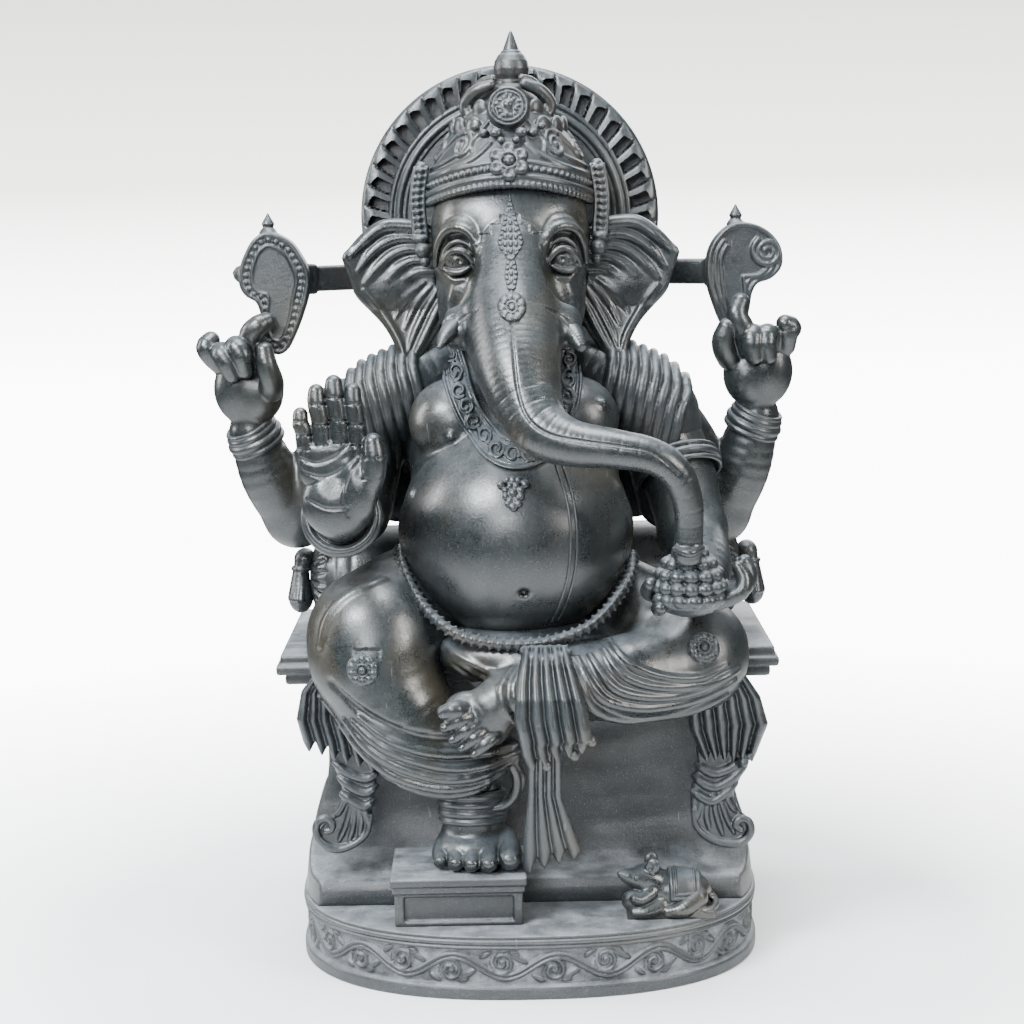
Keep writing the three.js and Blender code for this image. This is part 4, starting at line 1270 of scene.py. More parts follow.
def emblem(side):
    """Beaded paisley-shaped emblem held by each rear hand."""
    if side < 0:
        points = [(-238, 717), (-252, 710), (-261, 696), (-266, 684), (-268, 668), (-263, 656), (-252, 648),
                  (-246, 632), (-246, 614), (-238, 598), (-226, 597), (-216, 612), (-206, 634), (-199, 656),
                  (-198, 676), (-206, 694), (-218, 709)]
    else:
        points = [(220, 717), (206, 708), (196, 694), (192, 676), (193, 656), (200, 634), (208, 616),
                  (216, 604), (226, 610), (232, 628), (236, 646), (244, 658), (258, 664), (267, 676),
                  (265, 694), (254, 708), (238, 716)]
    outline = spline(points, 70, closed=True)
    middle = outline.mean(0)
    base = Blend([slab(outline, 10, 11, 5)])
    piece = base.copy()

    def inset(amount):
        toward = outline - middle
        return outline - toward / np.linalg.norm(toward, axis=1, keepdims=True) * amount

    for sign, start in ((1, -200.0), (-1, 200.0)):
        way = (0, sign, 0)

        def press(curve, lift=0.0):
            starts = np.column_stack([curve[:, 0], np.full(len(curve), start), curve[:, 1]])
            return land(base, starts, way) + np.array([0, -sign * lift, 0])

        rim = inset(3.0)
        piece.add(Tube(press(np.vstack([rim, rim[:1]])), 2.6), 1)
        if side < 0:
            piece.add(beads(press(inset(8.5)[::2], -0.4), 2.7), 0.8)
            inner = inset(14)
            piece.add(Tube(press(np.vstack([inner, inner[:1]])), 1.7), 0.8)
        else:
            for depth in (9, 15):
                inner = inset(depth)[4:56]
                piece.add(Tube(press(inner), 2.0), 1)
            t = np.linspace(0, 1, 40)
            curl = 15 * (1 - 0.82 * t)
            angle = 4.2 * np.pi * t + 2.2
            spiral = np.column_stack([252 + curl * np.cos(angle), 688 + curl * np.sin(angle)])
            piece.add(Tube(press(spiral), np.linspace(3.0, 2.0, 40)), 1)
    top = (-238, 10, 716) if side < 0 else (222, 10, 716)
    knob = [(0, -4), (8, -4), (9, 0), (7, 3), (5, 5), (6.5, 8), (5, 11), (2.5, 15), (0.6, 19), (0, 19)]
    piece.add(turned(knob, top), 1.5)
    if side < 0:
        piece.add(turned([(0, -4), (8, -4), (8.5, 0), (6, 4), (0, 7)], (-268, 10, 676), (0, -80, 0)), 1.5)
    return piece


# ---- legs ----------------------------------------------------------------------------------------
def hanging_form():
    """Plain thigh, knee, shin and cloth of the right leg."""
    form = Blend([tube([(-62, -10, 360), (-100, -60, 350), (-136, -104, 334)], [54, 62, 63], step=16)])
    form.add(egg((-138, -112, 328), (62, 60, 64)), 12)
    form.add(tube([(-138, -120, 304), (-104, -126, 250), (-58, -116, 206)], [57, 50, 33], step=14), 14)
    form.add(tube([(-146, -112, 262), (-104, -134, 228), (-56, -142, 212), (-14, -134, 226)],
                  [24, 28, 24, 14], step=10), 14)
    return form


def hanging_leg():
    """Right leg with folds of cloth round the shin and a bare foot on the stool."""
    form = hanging_form()
    piece = form.copy()
    piece.add(tube([(-54, -114, 200), (-47, -110, 176), (-46, -112, 150)], [30, 27, 26], step=8), 6)
    foot = Blend([egg((-46, -116, 128), (37, 34, 17))])
    foot.add(egg((-46, -106, 140), (31, 26, 24)), 10)
    rows = [(-78, -132, 8.4), (-63, -142, 9), (-48, -147, 9.2), (-32, -149, 9.6), (-12, -144, 12.2)]
    for x, y, r in rows:
        foot.add(tube([(x * 0.85 - 6, y + 30, 132), (x, y + 6, 125), (x, y - 8, 111 + r)],
                      [r, r, r * 0.92], step=4), 1.6)
        foot.add(egg((x, y - 12 - r * 0.4, 113 + r), (r * 0.62, 3, r * 0.5), (-20, 0, 0)), 0.8)
    piece.add(foot, 6)
    folds = [
        ([(-150, 268), (-127, 250), (-96, 236), (-65, 229), (-31, 228), (-4, 233)], 4.6),
        ([(-156, 262), (-134, 243), (-105, 228), (-66, 217), (-31, 218), (-2, 226)], 4.8),
        ([(-164, 262), (-142, 236), (-112, 218), (-72, 206), (-36, 208), (-4, 219)], 5.2),
        ([(-172, 262), (-150, 232), (-120, 208), (-80, 196), (-42, 198), (-8, 211)], 5.4),
        ([(-182, 266), (-164, 238), (-138, 210), (-104, 192), (-66, 187), (-26, 194)], 5.2),
        ([(-190, 280), (-178, 252), (-158, 226), (-128, 204)], 4.6),
    ]
    for path, width in folds:
        piece.add(ridge(form, path, width, 0.4, step=5), 2.4)
    piece.cut(ridge(form, [(-176, 300), (-150, 276), (-118, 258), (-84, 246), (-44, 240)], 3, 0, step=6), 6)
    piece.add(ridge(form, [(-186, 334), (-178, 360), (-158, 380), (-126, 392)], 3, -0.5, step=6), 6)
    curl = [(-8, -140, 214), (-2, -138, 200), (-4, -136, 184), (-14, -134, 172), (-26, -134, 168)]
    return piece.add(tube(curl, [6, 6.5, 6, 5, 3.5], step=4), 4)


def anklet():
    """Four rings round the right ankle."""
    piece = Blend()
    for z, radius, thick in ((178, 29, 4.0), (170, 29.5, 4.6), (161, 29.5, 4.6), (153, 29.5, 3.6)):
        piece.add(ring((-47, -111, z), radius, thick, (-5, 0, 0)), 1.2)
    return piece


def folded_form():
    """Plain thigh, knee and shin of the left leg, lying across the seat."""
    form = Blend([tube([(62, -10, 352), (120, -56, 332), (168, -94, 314)], [54, 54, 50], step=16)])
    form.add(egg((174, -102, 308), (46, 50, 46)), 12)
    form.add(tube([(170, -112, 298), (96, -146, 296), (30, -166, 290), (-8, -172, 284)],
                  [42, 40, 31, 25], step=12), 14)
    return form.add(egg((4, -104, 316), (86, 64, 32)), 16)


def folded_leg():
    """Left leg with folds of cloth, a dotted hem and a bare foot in the lap."""
    form = folded_form()
    piece = form.copy()
    piece.add(tube([(0, -172, 286), (-22, -176, 280), (-36, -178, 268)], [25, 23, 20], step=6), 6)
    foot = Blend([egg((-40, -180, 266), (33, 15, 25), (0, 30, 0))])
    foot.add(egg((-22, -180, 276), (22, 18, 22)), 8)
    toes = [((-52, 278), (-70, 276), 8.2), ((-44, 272), (-69, 262), 6.6), ((-38, 265), (-62, 251), 6.4),
            ((-31, 258), (-53, 243), 6.2), ((-22, 252), (-42, 237), 6.0)]
    for (ax, az), (bx, bz), r in toes:
        path = [(ax, -190, az), ((ax + bx) / 2, -197, (az + bz) / 2 + 2), (bx, -194, bz)]
        foot.add(tube(path, [r, r * 1.05, r * 0.85], step=3), 0.8)
        foot.add(egg((bx - 1, -199, bz), (r * 0.5, 2.4, r * 0.5)), 0.8)
    piece.add(foot, 4)
    folds = [
        ([(48, 322), (66, 279), (94, 261), (127, 256), (160, 261), (196, 276)], 5.4),
        ([(54, 322), (75, 287), (109, 273), (143, 272), (172, 277), (204, 290)], 5.0),
        ([(66, 324), (88, 295), (118, 284), (149, 282), (176, 287), (208, 300)], 4.6),
        ([(79, 328), (97, 306), (128, 293), (170, 290), (200, 298)], 4.2),
        ([(85, 334), (103, 316), (134, 302), (168, 297), (196, 306)], 3.6),
        ([(-6, 312), (-16, 298), (-14, 280), (-2, 264), (14, 254)], 4.4),
        ([(6, 314), (-4, 300), (-3, 284), (8, 270), (20, 262)], 3.8),
    ]
    for path, width in folds:
        piece.add(ridge(form, path, width, 0.2, step=5), 2.6)
    for path in ([(-100, 344), (-60, 322), (-30, 308), (-8, 300)], [(-86, 330), (-56, 314), (-30, 298)],
                 [(-70, 318), (-52, 302), (-40, 288)]):
        piece.add(ridge(form, path, 3.0, -0.4, step=5), 4)
    hem = spline([(45, 323), (54, 302), (61, 291), (72, 272), (92, 258), (118, 252), (146, 254)], 20)
    starts = np.column_stack([hem[:, 0], np.full(20, -300), hem[:, 1]])
    return piece.add(beads(landed(form, starts, (0, 1, 0)), 3.0), 0.8)


def knee_rosette(side):
    """Round flower carved on the cloth over each knee."""
    form = hanging_form() if side < 0 else folded_form()
    where = (-145, 314) if side < 0 else (174, 324)
    spot = on_front(form, [where])[0]
    normal = normals_of(form, [spot])[0]
    size = 16.0
    flower, _, _ = stamp(spot, normal, (0, 0, 1), size + 2, rosette(size, 10, 4.4))

    def window(p):
        off = p - spot
        over = off @ normal
        return np.sqrt(np.maximum((off ** 2).sum(1) - over ** 2, 0)) - size

    return Veneer(form, spot - size - 4, spot + size + 4, lambda p: 0.3 + flower(p), window)


# ---- carved cloth --------------------------------------------------------------------------------
def pleated(left, right, depth, pleats, half=4.5, rise=4.0, drop=4.0):
    """Hanging cloth with round pleats and a zigzag hem; its edges are (x, z) points from the top down."""
    left, right, depth = np.array(left, float), np.array(right, float), np.array(depth, float)
    share = np.arange(1, 2 * pleats)[:, None] / (2 * pleats)
    hem = left[-1] * (1 - share) + right[-1] * share
    hem[:, 1] += np.where(np.arange(len(hem)) % 2 == 0, -drop, drop)
    outline = np.vstack([left, hem, right[::-1]])

    def bend(x, z):
        a = np.interp(z, left[::-1, 1], left[::-1, 0])
        b = np.interp(z, right[::-1, 1], right[::-1, 0])
        u = (x - a) / np.maximum(b - a, 4)
        return np.interp(z, depth[::-1, 1], depth[::-1, 0]) - rise * np.abs(np.sin(np.pi * pleats * u))

    return slab(outline, 0, half, 1.5, bend)


def centre_sash():
    """Two falls of pleated cloth: a wide fan over the shin and a longer one under it."""
    piece = Blend([pleated([(4, 334), (-2, 306), (-5, 272), (2, 236), (6, 226)],
                           [(46, 334), (54, 308), (62, 280), (67, 250), (62, 246)],
                           [(-172, 334), (-188, 320), (-204, 290), (-206, 262), (-200, 226)], 5, 4.5,
                           6.5, 6)])
    piece.add(pleated([(8, 252), (6, 190), (2, 150), (0, 114)],
                      [(38, 252), (38, 190), (50, 150), (56, 132)],
                      [(-190, 252), (-174, 200), (-160, 150), (-150, 112)], 4, 4.5, 5.0, 7), 1)
    piece.add(tube([(4, -178, 330), (14, -186, 324), (30, -187, 323), (46, -182, 328)],
                   [3.4, 4.4, 4.4, 3.4], step=4), 2)
    for x, z in ((66, 249), (50, 236), (24, 227)):
        piece.add(egg((x, -206, z), (4.4, 4.4, 5.5)), 2)
    return piece


def side_drape(side):
    """Cloth falling beside the leg: an upper fan, a stepped tail below it and a rolled scroll at its foot."""
    if side < 0:
        upper = pleated([(-190, 304), (-209, 280), (-215, 252), (-209, 228)],
                        [(-160, 288), (-152, 262), (-146, 236), (-138, 202)],
                        [(-112, 304), (-100, 262), (-96, 200)], 6, 6, 6.5, 6)
        tail = [(-182, 226), (-181, 202), (-174, 182), (-176, 165), (-186, 150), (-196, 143),
                (-198, 130), (-186, 122), (-172, 120), (-156, 128), (-147, 141), (-145, 162),
                (-140, 190), (-142, 226)]
        rim = [(-146, 152), (-151, 135), (-163, 125), (-178, 120), (-191, 124), (-199, 134),
               (-199, 146), (-191, 152), (-184, 147), (-185, 140), (-190, 139)]
        steps = [((-180, 206), (-168, 196), (-150, 190), (-138, 196)),
                 ((-176, 192), (-164, 181), (-150, 176), (-141, 182)),
                 ((-176, 178), (-164, 168), (-152, 162), (-144, 168))]
        ribs = [((-168, 174), (-176, 158), (-182, 152)), ((-164, 170), (-170, 146), (-178, 128)),
                ((-161, 168), (-163, 146), (-168, 128)), ((-158, 166), (-156, 148), (-158, 132)),
                ((-154, 164), (-150, 152), (-149, 142))]
        y = -94
    else:
        upper = pleated([(166, 276), (162, 258), (164, 234), (176, 206)],
                        [(214, 294), (232, 266), (240, 238), (228, 206)],
                        [(-112, 292), (-98, 250), (-92, 204)], 6, 6, 6.5, 6)
        tail = [(176, 226), (172, 196), (166, 168), (167, 142), (177, 127), (194, 119), (211, 118),
                (221, 127), (223, 138), (213, 149), (207, 164), (214, 182), (222, 196), (222, 226)]
        rim = [(168, 152), (170, 136), (181, 124), (198, 118), (214, 119), (223, 129), (221, 140),
               (213, 143), (208, 137), (213, 132)]
        steps = [((222, 206), (206, 194), (188, 188), (172, 196)),
                 ((216, 192), (202, 180), (186, 174), (169, 184)),
                 ((209, 178), (198, 167), (184, 160), (167, 170))]
        ribs = [((196, 172), (203, 158), (207, 150)), ((192, 168), (199, 146), (207, 128)),
                ((187, 166), (190, 146), (196, 126)), ((182, 164), (180, 148), (183, 132)),
                ((177, 162), (173, 152), (172, 144))]
        y = -92
    piece = Blend([upper, slab(spline(tail, 60, closed=True), y + 6, 8, 4)])
    base = piece.copy()
    for path in steps:
        piece.add(ridge(base, path, 4.6, 1.0, step=4), 1.6)
    for path in ribs:
        piece.add(ridge(base, path, 2.8, 0.6, step=4), 1.2)
    line = spline([(x, y - 2, z) for x, z in rim], 40)
    line[:, 1] -= np.linspace(0, 4, 40)
    piece.add(Tube(line, np.interp(np.linspace(0, 1, 40), (0, 0.5, 1), (2.6, 4.4, 3.4))), 1.2)
    return piece


def shoulder_shawl(side):
    """Pleated cloth over the shoulder and down the back of the upper arm."""
    piece = Blend([tube([(side * 76, -26, 582), (side * 111, -22, 561), (side * 142, -8, 530),
                         (side * 152, 0, 446)], [24, 40, 42, 31], step=12)])
    piece.add(tube([(side * 70, 16, 584), (side * 108, 36, 556), (side * 126, 48, 510),
                    (side * 120, 52, 450)], [22, 34, 34, 30], step=12), 16)
    base = piece.copy()
    for i in range(8):
        top_x, top_z = 96 + 10.5 * i, 604 - 1.2 * i - 0.55 * i ** 2
        foot_x, foot_z = 88 + 9.2 * i, 522 - 6 * i
        path = [(side * top_x, top_z), (side * (top_x + 1), top_z - 14),
                (side * (0.45 * top_x + 0.55 * foot_x), 560 - 4 * i), (side * foot_x, foot_z),
                (side * (foot_x + 3), foot_z - 34)]
        piece.add(ridge(base, path, (4.8, 5.6, 5.4, 4), 0.8, step=5), 1.4)
        over = spline([(side * top_x, y, 680) for y in (-52, -30, 0, 30)], 16)
        line = landed(base, over, (0, 0, -1))
        if len(line) > 1:
            piece.add(Tube(line, 4.6), 2)
    for i in range(6):
        z = 548 - 20 * i
        path = [(70, 160, z + 26), (100, 160, z + 8), (130, 160, z + 2), (158, 160, z + 14)]
        back = spline(mirror(path, side), 16)
        piece.add(Tube(landed(base, back, (0, -1, 0)), 4), 5)
    return piece


# ---- throne and base -----------------------------------------------------------------------------
def bolster():
    """Round cushion behind the figure, gathered at both ends."""
    half = [(0, 225), (14, 224), (24, 222), (34, 219), (42, 214), (49, 205), (52, 194), (52.5, 150),
            (52.5, 0)]
    profile = [(r, -x) for r, x in half] + [(r, x) for r, x in half[-2::-1]]
    centre = (10, 95, 357)
    piece = Blend([turned(profile, centre, (0, 90, 0))])
    for end in (-1, 1):
        for x, deep in ((192, 2.6), (178, 2.2)):
            piece.cut(ring((centre[0] + end * x, centre[1], centre[2]), 54, deep, (0, 90, 0)), 2.5)
        for i in range(24):
            a = 2 * math.pi * i / 24
            rows = [(206, 47), (214, 41), (221, 26)]
            path = [(centre[0] + end * x, centre[1] + r * math.cos(a), centre[2] + r * math.sin(a))
                    for x, r in rows]
            piece.cut(Tube(path, [1.4, 2.4, 1.2]), 2.5)
    return piece


def bolster_tassel(side):
    """Pleated tassel hanging from an end of the bolster."""
    x = 10 + side * 232
    piece = Blend([egg((x - side * 3, 88, 378), (11, 13, 11))])
    piece.add(tube([(x, 86, 376), (x + side * 2, 84, 356), (x + side * 2, 82, 338)], [9, 12, 16],
                   step=5, flat=0.8, face=(side, 0, 0)), 3)
    for i in range(11):
        a = math.radians(-100 + 20 * i)
        foot = (x + side * (2 + 11 * math.cos(a)), 82 + 16 * math.sin(a), 338)
        piece.add(Tube([(x + side * 8 * math.cos(a), 86 + 8 * math.sin(a), 366), foot], [1.7, 2.8]), 1.0)
    return piece.add(ring((x, 86, 368), 9, 2.6), 1)


def seat_slab():
    """Slab with three mouldings under the figure."""
    piece = Blend()
    for inset, low, high in ((8, 274, 284), (0, 285, 295), (4, 296, 305)):
        piece.add(block((BASE_SHIFT + 2, 70, (low + high) / 2),
                        (247 - inset, 130 - inset, (high - low) / 2), 2.2))
    piece.add(block((BASE_SHIFT + 2, 70, 289.5), (247 - 9, 130 - 9, 14.5), 1.5))
    return piece


def superellipse(x, y, half_x, half_y, power=2.4):
    """Approximate distance to an upright column of superellipse plan."""
    u, v = np.abs(x - BASE_SHIFT) / half_x, np.abs(y) / half_y
    s = np.maximum((u ** power + v ** power) ** (1 / power), 1e-4)
    reach = np.hypot(x - BASE_SHIFT, y)
    return (s - 1) * reach / s


def pedestal():
    """Rough block under the slab, with a curved front that spreads into a step."""
    profile = spline([(-95, 58), (-97, 75), (-93, 86)], 8)
    front = np.vstack([profile, spline([(-90, 87), (-66, 90), (-46, 100), (-34, 122), (-29, 150)], 14),
                       [(-28, 200), (-28, 276), (195, 276), (195, 58)]])

    def measure(p):
        x, y, z = p.T
        side = outline_distance(np.column_stack([y, z]), front)
        t = np.interp(z, [58, 90, 118, 150, 174, 276], [1.0, 0.985, 0.965, 0.925, 0.885, 0.87])
        return np.maximum(side, superellipse(x, y, 226 * t, 193 * (0.35 + 0.65 * t)))

    piece = Blend([Shape((-221, -99, 60), (235, 195, 275), measure)])
    piece.keep(Below((0, 0, 274.5), (0, 0, 1)))
    piece.keep(Below((0, 0, 61.5), (0, 0, -1)))

    def weathered(p):
        x, y, z = p.T
        broad = np.sin(x * 0.051 + 1.3 + 0.9 * np.sin(z * 0.043)) * np.sin(z * 0.037 + y * 0.03)
        return 0.9 * broad + 0.35 * np.sin(z * 0.19 + 2.2 * np.sin(x * 0.021) + y * 0.05)

    return piece.relief(weathered, (-240, -120, 92), (250, 210, 272))


def footstool_top():
    """Two-step top under the right foot."""
    piece = Blend([block((-61, -116, 106), (65, 56, 4), 1.2)])
    piece.add(block((-61, -115, 98.5), (63, 54, 4), 1.2))
    piece.add(block((-61, -114, 102), (61, 53, 5), 1))
    return piece


def footstool_body():
    """Plain block with a sunk panel in its front."""
    piece = Blend([block((-61, -108, 78.2), (61, 57, 16.6), 1.2)])
    piece.cut(block((-61, -168, 78.5), (52, 8, 12), 1.5), 0.5)
    return piece


def mouse_body():
    """Plain back and shoulders of the mouse."""
    body = Blend([egg((148, -134, 84), (33, 21, 20), (0, 0, 5))])
    return body.add(egg((120, -139, 97), (17, 14, 15), (0, 18, 12)), 9)


def mouse():
    """Mouse on a low tray, holding a sweet in its front paws."""
    body = mouse_body()
    body.add(tube([(112, -143, 98), (102, -147, 102), (95, -149, 105)], [11, 8, 4.5], step=3), 5)
    body.add(egg((92.5, -150, 106), (2.6, 3, 2.4)), 1)
    for side in (-1, 1):
        body.add(egg((124, -138 + side * 11, 112), (7, 3, 8), (0, 20, side * 12)), 2)
        body.cut(egg((121, -139 + side * 13.4, 112), (4, 2.4, 5)), 1)
    body.add(egg((108, -156, 103), (2.6, 2, 2.8)), 0.5)
    body.cut(tube([(96, -155, 99), (104, -158, 96), (112, -157, 94)], 0.9, step=2), 1)
    body.add(egg((106, -150, 79), (12, 10, 11)), 1.2)
    for path, radii in (
            ([(122, -150, 86), (112, -158, 82), (106, -161, 84)], [7, 5.5, 4]),
            ([(132, -150, 74), (118, -157, 70), (106, -157, 69)], [8, 6, 4.5]),
            ([(166, -148, 80), (152, -156, 72), (138, -156, 69)], [11, 8, 5]),
            ([(176, -130, 82), (184, -136, 74), (182, -146, 70), (170, -154, 69)], [5, 4, 3.4, 2.6])):
        body.add(tube(path, radii, step=3), 3)
    body.add(block((141, -136, 65), (42, 20, 4), 2), 1.5)
    return body.keep(Below((0, 0, 61.8), (0, 0, -1)))


def saddle_cloth():
    """Bordered cloth across the back of the mouse."""
    form = mouse_body()

    def depth_inside(p):
        return np.maximum(np.abs(p[:, 0] - 155) - 16, 79 - p[:, 2])

    def height(p):
        inside = depth_inside(p)
        return 2.2 + 1.5 * np.maximum(bump(inside + 2.6, 1.6), bump(inside + 7, 1.2))

    return Veneer(form, (136, -164, 74), (174, -106, 112), height, depth_inside, 1.0)


def plinth_profile(z):
    """How far the plinth's side stands out at each height, before the vine."""
    marks = [(0, -1.5), (1.5, 0), (10, 0), (12, -1), (13.5, -6), (15, -7), (46.5, -7), (48, -6),
             (49, -1.6), (50, -1), (51.6, -1), (52.2, -3.4), (53.4, -3.4), (54, -0.6), (55, 0),
             (57.4, 0), (58, -2.6), (58.8, -2.6), (59.4, -0.4), (61.2, -0.6), (62, -2)]
    heights, depths = zip(*marks)
    return np.interp(z, heights, depths)


def vine(s, z, period):
    """Relief of a waving double stem with a spiral leaf in each half wave; s runs along the band."""
    half = period / 2
    middle, swing = 31.0, 10.0
    stem_z = middle + swing * np.sin(2 * np.pi * s / period)
    slope = np.abs(np.cos(2 * np.pi * s / period)) * swing * 2 * np.pi / period
    distance = np.abs(z - stem_z) / np.sqrt(1 + slope ** 2)
    relief = 4.0 * np.maximum(bump(distance - 2.1, 1.9), 0.45 * (distance < 2.6))
    which = np.floor(s / half)
    sign = np.where(which % 2 == 0, 1.0, -1.0)
    u = s - (which + 0.42) * half
    v = (z - middle + sign * 4.0) * sign
    r, angle = np.hypot(u, v), np.arctan2(v, u)
    arm = (r - 2.0 - 6.6 * ((angle + 0.6) % (2 * np.pi)) / (2 * np.pi)) % 6.6
    curl = 3.8 * bump(np.minimum(arm, 6.6 - arm), 2.1) * (r < 11.5)
    bud = 3.8 * bump(r, 3.0)
    leaves = 0.0
    around_bud = ((17, 3.5, 9.5, 3.8, 0.5), (-15, 7.5, 6.5, 3.2, -0.5), (12, 9.5, 6.0, 3.0, 0.3))
    for du, dv, long, thin, lean in around_bud:
        a, b = u - du, v + dv - lean * (u - du)
        leaves = np.maximum(leaves, 3.2 * bump(np.hypot(a / long, b / thin), 1.0))
    return np.maximum(np.maximum(relief, curl), np.maximum(bud, leaves * (distance > 4.5)))


def plinth():
    """Plinth as a fine skin round its side, with plain top and bottom."""
    around = int(1180 / COARSE)
    theta = np.linspace(0, 2 * np.pi, around * 8, endpoint=False)
    power = 2.4
    c, s = np.cos(theta), np.sin(theta)
    scale = (np.abs(c) ** power + np.abs(s) ** power) ** (-1 / power)
    dense = np.column_stack([228 * c * scale, 200 * s * scale])
    gaps = np.linalg.norm(np.diff(np.vstack([dense, dense[:1]]), axis=0), axis=1)
    length = np.concatenate([[0], np.cumsum(gaps)])
    total = length[-1]
    at = np.linspace(0, total, around, endpoint=False)
    x = np.interp(at, length, np.append(dense[:, 0], dense[0, 0]))
    y = np.interp(at, length, np.append(dense[:, 1], dense[0, 1]))
    ahead = np.roll(np.column_stack([x, y]), -1, 0) - np.roll(np.column_stack([x, y]), 1, 0)
    ahead /= np.linalg.norm(ahead, axis=1, keepdims=True)
    out = np.column_stack([ahead[:, 1], -ahead[:, 0]])
    levels = np.unique(np.concatenate([np.linspace(0, 62, int(58 / COARSE)),
                                       [1.5, 12, 14, 48.5, 50, 54, 56, 61.4]]))
    waves = 14
    start = total * 0.75
    rows, marks = [], []
    for z in levels:
        carve = vine(at - start, np.full(around, z), total / waves) if 15.5 < z < 46.5 else np.zeros(around)
        stand = plinth_profile(z) + carve
        rows.append(np.column_stack([x + out[:, 0] * stand, y + out[:, 1] * stand, np.full(around, z)]))
        in_band, in_groove = 15 < z < 47, 52.5 < z < 55.5 or 11 < z < 15
        marks.append(np.clip(1 - carve / 2.0, 0, 1) * in_band + 0.5 * in_groove)
    for share in (0.985, 0.95, 0.85, 0.7, 0.5, 0.3, 0.1):
        ring_xy = np.column_stack([x, y]) * share
        rows.append(np.column_stack([ring_xy, np.full(around, 62.0)]))
        marks.append(np.zeros(around))
        rows.insert(0, np.column_stack([ring_xy, np.zeros(around)]))
        marks.insert(0, np.zeros(around))
    p = np.vstack(rows).astype(np.float32)
    p[:, 0] += BASE_SHIFT
    count = len(rows)
    i, j = np.meshgrid(np.arange(count - 1), np.arange(around), indexing="ij")
    k = (j + 1) % around
    quads = np.stack([i * around + j, i * around + k, (i + 1) * around + k, (i + 1) * around + j],
                     -1).reshape(-1, 4)
    # Second mark is half the vine's depth, used as painted shade in the band's recesses; the third is edge
    # wear with painted highlight on the raised vine.
    hollow = np.concatenate(marks).astype(np.float32)
    return p, quads, [hollow, 0.5 * hollow, np.clip(0.4 - hollow, 0, 1).astype(np.float32)]


# ---- materials -----------------------------------------------------------------------------------
class Nodes:
    """Small helper that adds nodes to a material and links them."""

    def __init__(self, material):
        material.use_nodes = True
        self.tree = material.node_tree
        self.shader = self.tree.nodes["Principled BSDF"]

    def new(self, kind, inputs=None, **settings):
        node = self.tree.nodes.new(kind)
        for name, value in settings.items():
            setattr(node, name, value)
        for name, value in (inputs or {}).items():
            if isinstance(value, bpy.types.NodeSocket):
                self.tree.links.new(value, node.inputs[name])
            else:
                node.inputs[name].default_value = value
        return node

    def math(self, operation, a, b=0.0, clamp=False):
        return self.new("ShaderNodeMath", {0: a, 1: b}, operation=operation, use_clamp=clamp).outputs[0]

    def noise(self, where, scale, detail=3.0, roughness=0.55, distortion=0.0):
        inputs = {"Vector": where, "Scale": scale, "Detail": detail, "Roughness": roughness,
                  "Distortion": distortion}
        return self.new("ShaderNodeTexNoise", inputs).outputs["Fac"]

    def stretch(self, value, low, high, to_low=0.0, to_high=1.0):
        inputs = {"Value": value, "From Min": low, "From Max": high, "To Min": to_low, "To Max": to_high}
        return self.new("ShaderNodeMapRange", inputs, clamp=True).outputs["Result"]

    def mix(self, share, a, b, blend="MIX"):
        node = self.new("ShaderNodeMix", {"Factor": share, 6: a, 7: b}, data_type="RGBA", blend_type=blend)
        return node.outputs[2]

    def mark(self, name):
        return self.new("ShaderNodeAttribute", attribute_name=name).outputs["Fac"]


